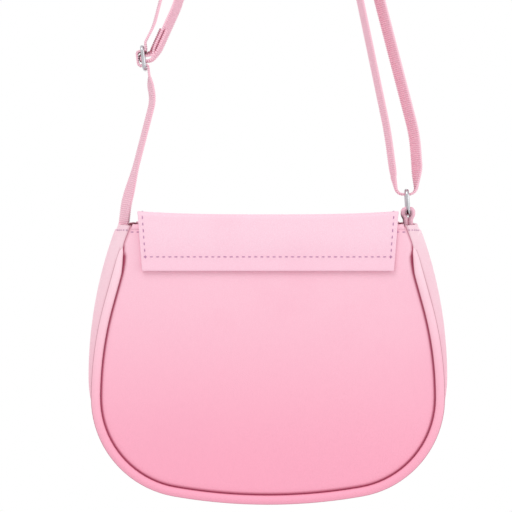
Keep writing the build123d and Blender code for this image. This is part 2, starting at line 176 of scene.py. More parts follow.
class BagThread(PropertyGroup):
    """The visible stitches."""

    pitch: length("Pitch", 3.6 * MM, "Distance from stitch to stitch")
    stitch: length("Stitch", 2.1 * MM, "Length of one stitch")
    radius: length("Radius", 0.27 * MM, "Radius of the thread")
    band_side: length("Band side", 2.7 * MM, "Rows inside the band's sides")
    band_foot: length("Band foot", 8.5 * MM, "Row above the band's lower edge")
    hem_drop: length("Hem drop", 4.2 * MM, "Rows under the rims")
    flap_inset: length("Flap inset", 2.7 * MM, "Row inside the flap's edge")
    seed: IntProperty(name="Seed", description="Start of the stitches' unevenness", default=7)


class BagColours(PropertyGroup):
    """Colours and finishes."""

    # leather_lit_high and leather_shaded_low are the ends of a painted light fade: lighter at the
    # top, where the light from above falls, and deeper towards the bottom.
    leather_lit_high: colour("Leather, high", 251, 202, 218, "Leather near the rim")
    leather_shaded_low: colour("Leather, low", 252, 167, 192, "Leather near the bottom")
    leather_cloud: colour("Leather, clouded", 244, 168, 192, "Deeper patches in the leather")
    # Painted light: the flap's tones are a lighter copy of the same leather, standing in for the
    # sheen of the light from above. gusset_lit_high is a lighter top for the gusset, painted for
    # the same light.
    flap_lit_high: colour("Flap, high", 252, 214, 229, "Flap's leather at its folds")
    flap_lit_low: colour("Flap, low", 249, 204, 221, "Flap's leather at its lower edges")
    gusset_lit_high: colour("Gusset, high", 253, 221, 231, "Gusset leather near the rim")
    # Painted shade: the deep crimson put into the leather beside each seam, where shade falls.
    crease: colour("Crease", 158, 34, 76, "Leather deep in a seam")
    lining: colour("Lining", 196, 38, 84, "Cloth inside the bag")
    thread: colour("Thread", 190, 128, 178, "Stitches")
    webbing: colour("Webbing", 250, 203, 217, "Crests of the webbing's ribs")
    # Painted shade between the ribs; also the colour of the webbing's random flecks.
    webbing_shade_and_fleck: colour("Webbing, deep", 238, 178, 198, "Between the webbing's ribs")
    metal: colour("Metal", 206, 206, 210, "Slider and ring")
    snap: colour("Snap", 188, 186, 182, "Magnetic snap")
    board: colour("Board", 196, 186, 170, "Stiffening boards")
    leather_gloss: share("Leather roughness", 0.42, "Roughness of the leather")


class BagStage(PropertyGroup):
    """Floor, lights and camera."""

    view_width: length("View width", 307.2 * MM, "Width of the view at the bag's back")
    view_x: length("View centre", 7.2 * MM, "How far the view's middle lies to the left")
    view_height: length("View height", 149.4 * MM, "Height of the view's middle")
    distance: length("Distance", 2.6, "Camera to the bag's back")
    floor_drop: length("Floor drop", 0.16, "Floor under the bag")
    floor_radius: length("Floor radius", 0.9, "Radius of the round floor")
    fill: FloatProperty(name="Fill", description="Strength of the even light", default=0.77)
    key: FloatProperty(
        name="Key", description="Power of the large upper light", default=12.0, unit="POWER"
    )
    side: FloatProperty(
        name="Side", description="Power of the side light", default=4.0, unit="POWER"
    )


# ---------- outlines ----------

BOTTOM_STEPS, CORNER_STEPS, SIDE_STEPS, STRAIGHT_STEPS, TOP_STEPS = 12, 20, 14, 14, 40
TUBE_SIDES, FLOOR_SIDES = 20, 96


def smooth(low, high, value):
    """0 up to low, 1 from high on, and an even ramp between."""
    t = min(1.0, max(0.0, (value - low) / (high - low)))
    return t * t * (3 - 2 * t)


class Outline:
    """A pouch's outline: a bottom arc, two corner arcs, two side arcs and two straight
    upper sides, each tangent to the next."""

    def __init__(self, half, lowest, bottom_r, corner_r, side_r, lean):
        self.lowest, self.bottom_r, self.corner_r, self.side_r = lowest, bottom_r, corner_r, side_r
        self.lean = lean
        self.corner_x = half - corner_r
        self.side_x = half - side_r
        drop = sqrt((bottom_r - corner_r) ** 2 - self.corner_x**2)
        self.corner_height = lowest + bottom_r - drop
        self.turn = atan2(self.corner_x, drop)

    def side_at(self, height):
        """Half width of the straight upper side at a height."""
        end_x = self.side_x + self.side_r * cos(self.lean)
        end_height = self.corner_height + self.side_r * sin(self.lean)
        return end_x - (height - end_height) * tan(self.lean)

    def right(self, top):
        """(place, outward direction) from the lowest point up the right side."""
        arcs = (
            ((0, self.lowest + self.bottom_r), self.bottom_r, -pi / 2, self.turn - pi / 2,
             BOTTOM_STEPS),
            ((self.corner_x, self.corner_height), self.corner_r, self.turn - pi / 2, 0,
             CORNER_STEPS),
            ((self.side_x, self.corner_height), self.side_r, 0, self.lean, SIDE_STEPS),
        )
        found = []
        for centre, radius, start, end, steps in arcs:
            for k in range(steps):
                way = start + (end - start) * k / steps
                out = Vector((cos(way), sin(way)))
                found.append((Vector(centre) + radius * out, out))
        out = Vector((cos(self.lean), sin(self.lean)))
        low = self.corner_height + self.side_r * sin(self.lean)
        for k in range(STRAIGHT_STEPS + 1):
            height = low + (top - low) * k / STRAIGHT_STEPS
            found.append((Vector((self.side_at(height), height)), out))
        return found

    def whole(self, top):
        """The same from the top left, round the bottom, to the top right."""
        right = self.right(top)
        left = [(Vector((-p.x, p.y)), Vector((-n.x, n.y))) for p, n in reversed(right[1:])]
        return left + right

    def inside(self, x, height):
        """How far a place lies inside the outline."""
        x = abs(x)
        if height > self.corner_height:
            if atan2(height - self.corner_height, x - self.side_x) < self.lean:
                return self.side_r - hypot(x - self.side_x, height - self.corner_height)
            return (self.side_at(height) - x) * cos(self.lean)
        if atan2(x, self.lowest + self.bottom_r - height) < self.turn:
            return self.bottom_r - hypot(x, height - self.lowest - self.bottom_r)
        return self.corner_r - hypot(x - self.corner_x, height - self.corner_height)


def seam_outline(shell):
    return Outline(
        SEAM_HALF, 3.0 * MM, shell.bottom_radius, shell.corner_radius,
        shell.side_radius, shell.side_lean,
    )


def waist_outline(shell):
    return Outline(
        WAIST_HALF, 3.0 * MM, shell.bottom_radius, shell.waist_corner_radius,
        shell.waist_side_radius, shell.waist_lean,
    )


def flap_outline(flap):
    return Outline(
        flap.half, flap.lowest, flap.bottom_radius, flap.corner_radius,
        flap.side_radius, flap.side_lean,
    )


def top_closed(boundary, height):
    """A boundary that ends at both top corners, closed by places along its straight top."""
    left, right = boundary[0][0], boundary[-1][0]
    return boundary + [
        (right + (left - right) * k / TOP_STEPS, height) for k in range(1, TOP_STEPS)
    ]


# ---------- meshes ----------


def link(name, mesh):
    """A new object in the scene."""
    piece = bpy.data.objects.new(name, mesh)
    bpy.context.scene.collection.objects.link(piece)
    return piece


class Surface:
    """Corners and faces of a mesh in the making, with the mask of painted shade: how much shade
    is painted on each corner beside a seam."""

    def __init__(self):
        self.corners, self.faces, self.seam_shades = [], [], []

    def corner(self, x, y, height, crease=0.0):
        self.corners.append((x, y, GROUND + height))
        self.seam_shades.append(crease)
        return len(self.corners) - 1

    def strip(self, rows, closed=False):
        """Faces between neighbouring rows of corners."""
        for one, two in zip(rows, rows[1:]):
            pairs = list(zip(one, two))
            if closed:
                pairs.append(pairs[0])
            for (a, b), (c, d) in zip(pairs, pairs[1:]):
                self.faces.append((a, c, d, b))

    def fan(self, ring, middle):
        for a, b in zip(ring, ring[1:] + ring[:1]):
            self.faces.append((a, b, middle))

    def piece(self, name, material, away_from=None, wall=0.0, bevel=0.0, sharp=40):
        """The finished object: doubles merged, faces turned away from a point, a sheet given
        its thickness inwards and its edges rounded."""
        mesh = bpy.data.meshes.new(name)
        mesh.from_pydata(self.corners, [], self.faces)
        # The painted shade mask, read by the leather's material.
        seam_shade_mask = mesh.attributes.new("crease", "FLOAT", "POINT")
        seam_shade_mask.data.foreach_set("value", self.seam_shades)
        mesh.materials.append(material)
        piece = link(name, mesh)
        weld = piece.modifiers.new("weld", "WELD")
        weld.merge_threshold = 0.01 * MM
        settle(piece)
        if away_from is not None:
            face_alike(piece.data)
            outward = sum(
                f.normal.dot(f.center - away_from) * f.area for f in piece.data.polygons
            )
            if outward < 0:
                piece.data.flip_normals()
        if wall:
            thicken = piece.modifiers.new("wall", "SOLIDIFY")
            thicken.thickness = wall
            thicken.offset = -1
            thicken.use_even_offset = True
        if bevel:
            soften = piece.modifiers.new("bevel", "BEVEL")
            soften.width = bevel
            soften.segments = 3
            soften.limit_method = "ANGLE"
            soften.angle_limit = radians(55)
            soften.loop_slide = False
        settle(piece)
        piece.data.shade_smooth()
        piece.data.set_sharp_from_angle(angle=radians(sharp))
        return piece


def face_alike(mesh):
    """Turns neighbouring faces of a sheet the same way."""
    work = bmesh.new()
    work.from_mesh(mesh)
    bmesh.ops.recalc_face_normals(work, faces=work.faces)
    work.to_mesh(mesh)
    work.free()


def settle(piece):
    """The piece's mesh with its modifiers applied."""
    bpy.context.view_layer.update()
    evaluated = piece.evaluated_get(bpy.context.evaluated_depsgraph_get())
    old = piece.data
    piece.data = bpy.data.meshes.new_from_object(evaluated)
    piece.data.name = piece.name
    piece.modifiers.clear()
    bpy.data.meshes.remove(old)


# A patch's rings, as shares of the way from its centre to its edge.
RING_SHARES = (
    1.0, 0.992, 0.983, 0.973, 0.962, 0.95, 0.935, 0.915, 0.885, 0.84, 0.78, 0.7, 0.6, 0.48,
    0.34, 0.18,
)


def patch(surface, boundary, centre, y_at, seam_shade_at=None):
    """Fills a closed boundary of (x, height) with rings of faces."""
    rings = []
    for part in RING_SHARES:
        ring = []
        for x, height in boundary:
            px = centre[0] + (x - centre[0]) * part
            ph = centre[1] + (height - centre[1]) * part
            crease = seam_shade_at(px, ph) if seam_shade_at else 0.0
            ring.append(surface.corner(px, y_at(px, ph), ph, crease))
        rings.append(ring)
    surface.strip(rings, closed=True)
    surface.fan(rings[-1], surface.corner(centre[0], y_at(*centre), centre[1]))


def tube(name, places, radii, across, material, closed=False, flank_shade=0.0):
    """A round bar along places in one plane, whose upright direction is across. Open ends are
    drawn to a point. flank_shade is how much painted shade its two sides take beside the seams."""
    surface = Surface()
    rows = []
    count = len(places)
    for k, (place, radius) in enumerate(zip(places, radii)):
        before = places[k - 1] if k or closed else place
        after = places[(k + 1) % count] if k + 1 < count or closed else place
        side = (after - before).normalized().cross(across).normalized()
        row = []
        for turn in range(TUBE_SIDES):
            way = 2 * pi * turn / TUBE_SIDES
            spot = place + radius * (cos(way) * side + sin(way) * across)
            crease = flank_shade * smooth(0.8, 0.98, abs(cos(way)))
            row.append(surface.corner(spot.x, spot.y, spot.z - GROUND, crease))
        rows.append(row)
    surface.strip(rows + rows[:1] if closed else rows, closed=True)
    if not closed:
        for row, place in ((rows[0], places[0]), (rows[-1][::-1], places[-1])):
            surface.fan(row, surface.corner(place.x, place.y, place.z - GROUND))
    piece = surface.piece(name, material, sharp=60)
    volume = sum(f.center.dot(f.normal) * f.area for f in piece.data.polygons)
    if volume < 0:
        piece.data.flip_normals()
    return piece


def put_on(piece, body, slot, *replaced):
    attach(piece, body)
    if replaced:
        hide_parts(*replaced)


def put_between(piece, bodies, start, end, slot, *replaced):
    """A piece set between two bodies, its transform baked in and the parts it replaces hidden.
    start and end, given as (x, y, height), are not used.
    """
    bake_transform(piece)
    if replaced:
        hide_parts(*replaced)


# ---------- shader node groups ----------


class Nodes:
    """Short ways to add and join nodes of one tree."""

    def __init__(self, tree):
        self.tree = tree

    def add(self, kind, **settings):
        node = self.tree.nodes.new(kind)
        for key, value in settings.items():
            setattr(node, key, value)
        return node

    def join(self, source, target):
        self.tree.links.new(source, target)

    def math(self, operation, one, two=None, clamp=False):
        node = self.add("ShaderNodeMath", operation=operation, use_clamp=clamp)
        for value, socket in zip((one, two), node.inputs):
            if isinstance(value, (int, float)):
                socket.default_value = value
            elif value is not None:
                self.join(value, socket)
        return node.outputs[0]

    def mix(self, factor, one, two):
        node = self.add("ShaderNodeMix", data_type="RGBA")
        for socket, value in zip((node.inputs[k] for k in (0, 6, 7)), (factor, one, two)):
            if isinstance(value, (int, float)):
                socket.default_value = value
            elif isinstance(value, bpy.types.NodeSocket):
                self.join(value, socket)
            else:
                socket.default_value = (*value, 1.0)
        return node.outputs[2]

    def texture(self, kind, vector, scale, **settings):
        node = self.add(kind, **settings)
        self.join(vector, node.inputs["Vector"])
        if isinstance(scale, (int, float)):
            node.inputs["Scale"].default_value = scale
        else:
            self.join(scale, node.inputs["Scale"])
        return node


def shader_group(name, inputs, outputs):
    """A node group with named sockets: inputs are (name, kind, value), outputs (name, kind)."""
    tree = bpy.data.node_groups.new(name, "ShaderNodeTree")
    for label, kind, value in inputs:
        socket = tree.interface.new_socket(label, in_out="INPUT", socket_type=kind)
        if value is not None:
            socket.default_value = value
    for label, kind in outputs:
        tree.interface.new_socket(label, in_out="OUTPUT", socket_type=kind)
    nodes = Nodes(tree)
    return nodes, nodes.add("NodeGroupInput").outputs, nodes.add("NodeGroupOutput").inputs


def pebble_grain():
    """Fine pebbled grain of pressed leather, with a few stretched folds."""
    name = "pebble_grain"
    if name in bpy.data.node_groups:
        return bpy.data.node_groups[name]
    nodes, given, result = shader_group(
        name,
        [("Vector", "NodeSocketVector", None), ("Scale", "NodeSocketFloat", 1200.0)],
        [("Height", "NodeSocketFloat"), ("Pits", "NodeSocketFloat")],
    )
    warp = nodes.texture("ShaderNodeTexNoise", given["Vector"], 160.0)
    shift = nodes.add("ShaderNodeVectorMath", operation="SCALE")
    nodes.join(warp.outputs["Color"], shift.inputs[0])
    shift.inputs["Scale"].default_value = 1.2 * MM
    place = nodes.add("ShaderNodeVectorMath", operation="ADD")
    nodes.join(given["Vector"], place.inputs[0])
    nodes.join(shift.outputs[0], place.inputs[1])
    cells = nodes.texture(
        "ShaderNodeTexVoronoi", place.outputs[0], given["Scale"], feature="DISTANCE_TO_EDGE"
    )
    rounded = nodes.math("MULTIPLY", cells.outputs["Distance"], 3.2, clamp=True)
    hills = nodes.texture("ShaderNodeTexNoise", given["Vector"], 420.0)
    height = nodes.math("ADD", rounded, nodes.math("MULTIPLY", hills.outputs[0], 0.5))
    nodes.join(height, result["Height"])
    nodes.join(nodes.math("SUBTRACT", 1.0, rounded, clamp=True), result["Pits"])
    return nodes.tree


def clouding():
    """Slow change over a surface: soft patches, and a painted light fade from the bottom to the
    rim, lighter towards the top where the light from above falls.
    """
    name = "clouding"
    if name in bpy.data.node_groups:
        return bpy.data.node_groups[name]
    nodes, given, result = shader_group(
        name,
        [
            ("Vector", "NodeSocketVector", None),
            ("Scale", "NodeSocketFloat", 22.0),
            ("Low", "NodeSocketFloat", 0.0),
            ("High", "NodeSocketFloat", 1.0),
        ],
        [("Patches", "NodeSocketFloat"), ("Rise", "NodeSocketFloat")],
    )
    soft = nodes.texture("ShaderNodeTexNoise", given["Vector"], given["Scale"])
    soft.inputs["Detail"].default_value = 3.0
    spread = nodes.add("ShaderNodeMapRange", interpolation_type="SMOOTHSTEP")
    nodes.join(soft.outputs[0], spread.inputs["Value"])
    spread.inputs["From Min"].default_value = 0.42
    spread.inputs["From Max"].default_value = 0.72
    nodes.join(spread.outputs[0], result["Patches"])
    axes = nodes.add("ShaderNodeSeparateXYZ")
    nodes.join(given["Vector"], axes.inputs[0])
    lit_rise = nodes.add("ShaderNodeMapRange", interpolation_type="SMOOTHSTEP")
    nodes.join(axes.outputs["Z"], lit_rise.inputs["Value"])
    nodes.join(given["Low"], lit_rise.inputs["From Min"])
    nodes.join(given["High"], lit_rise.inputs["From Max"])
    nodes.join(lit_rise.outputs[0], result["Rise"])
    return nodes.tree


def cloth_weave():
    """Crossed yarns of a plain cloth, with uneven thickness."""
    name = "cloth_weave"
    if name in bpy.data.node_groups:
        return bpy.data.node_groups[name]
    nodes, given, result = shader_group(
        name,
        [("Vector", "NodeSocketVector", None), ("Yarns", "NodeSocketFloat", 1500.0)],
        [("Height", "NodeSocketFloat"), ("Fuzz", "NodeSocketFloat")],
    )
    axes = nodes.add("ShaderNodeSeparateXYZ")
    nodes.join(given["Vector"], axes.inputs[0])
    along = nodes.math("ADD", axes.outputs["X"], axes.outputs["Y"])
    turn = nodes.math("MULTIPLY", given["Yarns"], pi)
    warp = nodes.math("SINE", nodes.math("MULTIPLY", along, turn))
    weft = nodes.math("SINE", nodes.math("MULTIPLY", axes.outputs["Z"], turn))
    fuzz = nodes.texture("ShaderNodeTexNoise", given["Vector"], 2600.0)
    crossing = nodes.math("MULTIPLY", nodes.math("MULTIPLY", warp, weft), 0.5)
    nodes.join(nodes.math("ADD", crossing, fuzz.outputs[0]), result["Height"])
    nodes.join(fuzz.outputs[0], result["Fuzz"])
    return nodes.tree


def fine_wear():
    """Hairline scratches on worn metal, and darker patches painted in to stand for dark
    reflections.
    """
    name = "fine_wear"
    if name in bpy.data.node_groups:
        return bpy.data.node_groups[name]
    nodes, given, result = shader_group(
        name,
        [("Vector", "NodeSocketVector", None), ("Scale", "NodeSocketFloat", 500.0)],
        [("Scratches", "NodeSocketFloat"), ("Dull", "NodeSocketFloat")],
    )
    stretch = nodes.add("ShaderNodeMapping")
    nodes.join(given["Vector"], stretch.inputs["Vector"])
    stretch.inputs["Scale"].default_value = (6.0, 1.0, 6.0)
    lines = nodes.texture("ShaderNodeTexNoise", stretch.outputs[0], given["Scale"])
    nodes.join(lines.outputs[0], result["Scratches"])
    # Painted reflection: patches where the metal's colour is darker, in place of dark reflections.
    dull = nodes.texture("ShaderNodeTexNoise", given["Vector"], 180.0)
    nodes.join(dull.outputs[0], result["Dull"])
    return nodes.tree


# ---------- materials ----------


def material(name, roughness, metallic=0.0, specular=0.5):
    """A new material with its Principled BSDF, and the object's own coordinates."""
    made = bpy.data.materials.new(name)
    made.use_nodes = True
    nodes = Nodes(made.node_tree)
    shader = made.node_tree.nodes["Principled BSDF"]
    shader.inputs["Roughness"].default_value = roughness
    shader.inputs["Metallic"].default_value = metallic
    shader.inputs["Specular IOR Level"].default_value = specular
    return made, nodes, shader, nodes.add("ShaderNodeTexCoord").outputs["Object"]


def place_group(nodes, tree, vector, **values):
    node = nodes.add("ShaderNodeGroup", node_tree=tree)
    nodes.join(vector, node.inputs["Vector"])
    for key, value in values.items():
        node.inputs[key].default_value = value
    return node.outputs


def bump(nodes, shader, height, strength, distance):
    node = nodes.add("ShaderNodeBump")
    node.inputs["Strength"].default_value = strength
    node.inputs["Distance"].default_value = distance
    nodes.join(height, node.inputs["Height"])
    nodes.join(node.outputs[0], shader.inputs["Normal"])


def leather_material(colours, name="pink_leather", scale=1250.0, depth=0.10 * MM, place_on="body"):
    """Pressed faux leather: pebbled, a little clouded, with painted shade deep in its seams and a
    painted light fade, lighter towards the rim. place_on says whose painted-lit tones it has:
    the body's, the flap's or the gusset's."""
    if name in bpy.data.materials:
        return bpy.data.materials[name]
    made, nodes, shader, place = material(name, colours.leather_gloss)
    grain = place_group(nodes, pebble_grain(), place, Scale=scale)
    cloud = place_group(
        nodes, clouding(), place,
        Low=BAND_FOOT + GROUND if place_on == "flap" else GROUND, High=GROUND + BACK_RIM,
    )
    low, high, clouded = colours.leather_shaded_low, colours.leather_lit_high, 0.16
    # The flap takes a lighter, painted-lit copy of the leather, and the gusset a lighter
    # painted-lit top.
    if place_on == "flap":
        low, high, clouded = colours.flap_lit_low, colours.flap_lit_high, 0.10
    if place_on == "gusset":
        high = colours.gusset_lit_high
    # Painted light: the leather grows lighter towards the rim, where the light from above falls.
    body = nodes.mix(cloud["Rise"], low, high)
    body = nodes.mix(nodes.math("MULTIPLY", cloud["Patches"], clouded), body, colours.leather_cloud)
    body = nodes.mix(nodes.math("MULTIPLY", grain["Pits"], 0.24), body, colours.leather_cloud)
    # Painted shade: deep crimson where the mask says a place lies beside a seam.
    crease = nodes.add("ShaderNodeAttribute", attribute_name="crease")
    body = nodes.mix(crease.outputs["Fac"], body, colours.crease)
    nodes.join(body, shader.inputs["Base Color"])
    rough = nodes.math("MULTIPLY", grain["Pits"], 0.16)
    rough = nodes.math("ADD", rough, nodes.math("MULTIPLY", cloud["Patches"], 0.06))
    nodes.join(nodes.math("ADD", rough, colours.leather_gloss), shader.inputs["Roughness"])
    bump(nodes, shader, grain["Height"], 0.55, depth)
    return made


def lining_material(colours):
    """Plain crimson cloth."""
    name = "crimson_lining"
    if name in bpy.data.materials:
        return bpy.data.materials[name]
    made, nodes, shader, place = material(name, 0.85, specular=0.25)
    shader.inputs["Sheen Weight"].default_value = 0.25
    weave = place_group(nodes, cloth_weave(), place, Yarns=1500.0)
    deep = [0.6 * part for part in colours.lining]
    nodes.join(nodes.mix(weave["Fuzz"], deep, colours.lining), shader.inputs["Base Color"])
    bump(nodes, shader, weave["Height"], 0.5, 0.12 * MM)
    return made


def webbing_material(colours):
    """Ribbed polyester webbing: light crests, with painted shade on the core between the ribs, and
    random deeper flecks.
    """
    name = "pink_webbing"
    if name in bpy.data.materials:
        return bpy.data.materials[name]
    made, nodes, shader, place = material(name, 0.72, specular=0.3)
    shader.inputs["Sheen Weight"].default_value = 0.2
    weave = place_group(nodes, cloth_weave(), place, Yarns=2100.0)
    crest = nodes.add("ShaderNodeAttribute", attribute_name="crest")
    # Painted shade: the core between the ribs takes the deeper colour, and only the ribs' crests
    # take the light one.
    shade = nodes.mix(crest.outputs["Fac"], colours.webbing_shade_and_fleck, colours.webbing)
    shade = nodes.mix(nodes.math("MULTIPLY", weave["Fuzz"], 0.25), shade, colours.webbing_shade_and_fleck)
    nodes.join(shade, shader.inputs["Base Color"])
    bump(nodes, shader, weave["Height"], 0.6, 0.10 * MM)
    return made


def thread_material(colours):
    """Twisted sewing thread with a slight sheen."""
    name = "lilac_thread"
    if name in bpy.data.materials:
        return bpy.data.materials[name]
    made, nodes, shader, place = material(name, 0.5, specular=0.4)
    weave = place_group(nodes, cloth_weave(), place, Yarns=5200.0)
    dark = [0.72 * part for part in colours.thread]
    nodes.join(nodes.mix(weave["Fuzz"], dark, colours.thread), shader.inputs["Base Color"])
    bump(nodes, shader, weave["Height"], 0.5, 0.05 * MM)
    return made


def metal_material(name, tint, roughness):
    """Plated metal with hairline wear, and darker patches painted in to stand for dark reflections.
    """
    if name in bpy.data.materials:
        return bpy.data.materials[name]
    made, nodes, shader, place = material(name, roughness, metallic=1.0)
    wear_and_reflections = place_group(nodes, fine_wear(), place)
    dark = [0.62 * part for part in tint]
    # Painted reflection: the colour darkens in patches, in place of dark reflections.
    nodes.join(nodes.mix(wear_and_reflections["Dull"], dark, tint), shader.inputs["Base Color"])
    rough = nodes.math("MULTIPLY", wear_and_reflections["Scratches"], 0.14)
    nodes.join(nodes.math("ADD", rough, roughness), shader.inputs["Roughness"])
    bump(nodes, shader, wear_and_reflections["Scratches"], 0.15, 0.03 * MM)
    return made


def board_material(colours):
    """Pressed grey board."""
    name = "grey_board"
    if name in bpy.data.materials:
        return bpy.data.materials[name]
    made, nodes, shader, place = material(name, 0.9, specular=0.2)
    cloud = place_group(nodes, clouding(), place, Scale=900.0, Low=GROUND, High=GROUND + 1.0)
    dark = [0.7 * part for part in colours.board]
    nodes.join(nodes.mix(cloud["Patches"], dark, colours.board), shader.inputs["Base Color"])
    bump(nodes, shader, cloud["Patches"], 0.3, 0.1 * MM)
    return made


def finish_node(name, made):
    """Gives a piece of the frame its finish."""
    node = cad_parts[name]
    if not node.material_slots:
        node.data.materials.append(made)
    for held in node.material_slots:
        held.material = made


# ---------- what repeats: stitches and webbing ribs ----------


def geometry_tree(name, inputs):
    tree = bpy.data.node_groups.new(name, "GeometryNodeTree")
    tree.interface.new_socket("Geometry", in_out="INPUT", socket_type="NodeSocketGeometry")
    for label, kind, value in inputs:
        socket = tree.interface.new_socket(label, in_out="INPUT", socket_type=kind)
        if value is not None:
            socket.default_value = value
    tree.interface.new_socket("Geometry", in_out="OUTPUT", socket_type="NodeSocketGeometry")
    nodes = Nodes(tree)
    return nodes, nodes.add("NodeGroupInput").outputs, nodes.add("NodeGroupOutput").inputs


def placed_along(nodes, given, item, rotation, scale, result):
    """One item at each pitch along the given lines, realized, with its material."""
    line = nodes.add("GeometryNodeMeshToCurve")
    nodes.join(given["Geometry"], line.inputs[0])
    even = nodes.add("GeometryNodeResampleCurve", mode="LENGTH")
    nodes.join(line.outputs[0], even.inputs["Curve"])
    nodes.join(given["Pitch"], even.inputs["Length"])
    copies = nodes.add("GeometryNodeInstanceOnPoints")
    nodes.join(even.outputs[0], copies.inputs["Points"])
    nodes.join(item, copies.inputs["Instance"])
    nodes.join(rotation, copies.inputs["Rotation"])
    nodes.join(scale, copies.inputs["Scale"])
    real = nodes.add("GeometryNodeRealizeInstances")
    nodes.join(copies.outputs[0], real.inputs[0])
    dressed = nodes.add("GeometryNodeSetMaterial")
    nodes.join(real.outputs[0], dressed.inputs["Geometry"])
    nodes.join(given["Material"], dressed.inputs["Material"])
    nodes.join(dressed.outputs[0], result["Geometry"])


def stitch_tree():
    """Rounded stitches along lines, each a little uneven."""
    name = "stitch_rows"
    if name in bpy.data.node_groups:
        return bpy.data.node_groups[name]
    nodes, given, result = geometry_tree(
        name,
        [
            ("Pitch", "NodeSocketFloat", 3.4 * MM),
            ("Stitch", "NodeSocketFloat", 2.5 * MM),
            ("Radius", "NodeSocketFloat", 0.27 * MM),
            ("Seed", "NodeSocketInt", 0),
            ("Material", "NodeSocketMaterial", None),
        ],
    )
    bead = nodes.add("GeometryNodeMeshUVSphere")
    bead.inputs["Segments"].default_value = 8
    bead.inputs["Rings"].default_value = 6
    bead.inputs["Radius"].default_value = 1.0
    way = nodes.add("FunctionNodeAlignRotationToVector", axis="X")
    nodes.join(nodes.add("GeometryNodeInputTangent").outputs[0], way.inputs["Vector"])
    uneven = nodes.add("FunctionNodeRandomValue", data_type="FLOAT")
    uneven.inputs[2].default_value = 0.9
    uneven.inputs[3].default_value = 1.08
    nodes.join(given["Seed"], uneven.inputs["Seed"])
    size = nodes.add("ShaderNodeCombineXYZ")
    nodes.join(
        nodes.math("MULTIPLY", nodes.math("MULTIPLY", given["Stitch"], 0.5), uneven.outputs[1]),
        size.inputs["X"],
    )
    nodes.join(given["Radius"], size.inputs["Y"])
    nodes.join(given["Radius"], size.inputs["Z"])
    placed_along(nodes, given, bead.outputs["Mesh"], way.outputs[0], size.outputs[0], result)
    return nodes.tree


def rib_tree():
    """Cross ribs along a line whose corners hold the webbing's own width direction."""
    name = "webbing_ribs"
    if name in bpy.data.node_groups:
        return bpy.data.node_groups[name]
    nodes, given, result = geometry_tree(
        name,
        [
            ("Pitch", "NodeSocketFloat", 1.25 * MM),
            ("Width", "NodeSocketFloat", 15 * MM),
            ("Length", "NodeSocketFloat", 1.15 * MM),
            ("Thickness", "NodeSocketFloat", 1.6 * MM),
            ("Material", "NodeSocketMaterial", None),
        ],
    )
    bar = nodes.add("GeometryNodeMeshCylinder")
    bar.inputs["Vertices"].default_value = 8
    bar.inputs["Radius"].default_value = 0.5
    bar.inputs["Depth"].default_value = 1.0
    # The ribs are marked as crests; the unmarked core gets the webbing's painted shade.
    marked = nodes.add("GeometryNodeStoreNamedAttribute", data_type="FLOAT", domain="POINT")
    nodes.join(bar.outputs["Mesh"], marked.inputs["Geometry"])
    marked.inputs["Name"].default_value = "crest"
    marked.inputs["Value"].default_value = 1.0
    wide = nodes.add("GeometryNodeInputNamedAttribute", data_type="FLOAT_VECTOR")
    wide.inputs["Name"].default_value = "across"
    way = nodes.add("FunctionNodeAxesToRotation", primary_axis="Z", secondary_axis="X")
    nodes.join(wide.outputs["Attribute"], way.inputs["Primary Axis"])
    nodes.join(nodes.add("GeometryNodeInputTangent").outputs[0], way.inputs["Secondary Axis"])
    size = nodes.add("ShaderNodeCombineXYZ")
    nodes.join(given["Length"], size.inputs["X"])
    nodes.join(given["Thickness"], size.inputs["Y"])
    nodes.join(given["Width"], size.inputs["Z"])
    placed_along(nodes, given, marked.outputs[0], way.outputs[0], size.outputs[0], result)
    return nodes.tree


def grown_from(name, lines, tree, across=None, **values):
    """The plain mesh that a geometry tree makes of some lines of places."""
    corners = [place for line in lines for place in line]
    edges = []
    first = 0
    for line in lines:
        edges += [(first + k, first + k + 1) for k in range(len(line) - 1)]
        first += len(line)
    mesh = bpy.data.meshes.new(name)
    mesh.from_pydata(corners, edges, [])
    if across is not None:
        held = mesh.attributes.new("across", "FLOAT_VECTOR", "POINT")
        held.data.foreach_set("vector", [part for way in across for part in way])
    piece = link(name, mesh)
    grow = piece.modifiers.new("grow", "NODES")
    grow.node_group = tree
    for item in tree.interface.items_tree:
        if item.in_out == "INPUT" and item.name in values:
            grow[item.identifier] = values[item.name]
    settle(piece)
    piece.data.shade_smooth()
    piece.data.set_sharp_from_angle(angle=radians(60))
    if not piece.data.polygons:
        raise RuntimeError(f"{name} came out empty")
    return piece


def merged(name, pieces):
    """Several pieces as one."""
    for other in bpy.context.selected_objects:
        other.select_set(False)
    for piece in pieces:
        piece.select_set(True)
    bpy.context.view_layer.objects.active = pieces[0]
    bpy.ops.object.join()
    pieces[0].name = name
    pieces[0].data.name = name
    return pieces[0]


# ---------- the shell ----------

PANEL_CENTRE = (0.0, 84 * MM)
PIPING_Y = (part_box("back_piping")[0].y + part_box("back_piping")[1].y) / 2
TIP_BELOW, TIP_ABOVE = 7 * MM, 3 * MM  # the piping ends between these, about its tip
TIP_SPREAD, TIP_REACH = 1.4 * MM, 17 * MM  # how far the seam stands out there, and how long
EDGE_COVERED, EDGE_BARE = 1.7 * MM, 0.1 * MM  # a panel's edge inside the seam
PANEL_TOP = 0.8 * MM  # a panel's top edge under the rim, inside its hem
SWELL_WIDTH = 60 * MM  # a panel swells over this width
SWELL_FADES = (110 * MM, 146 * MM)  # heights between which the swelling dies out
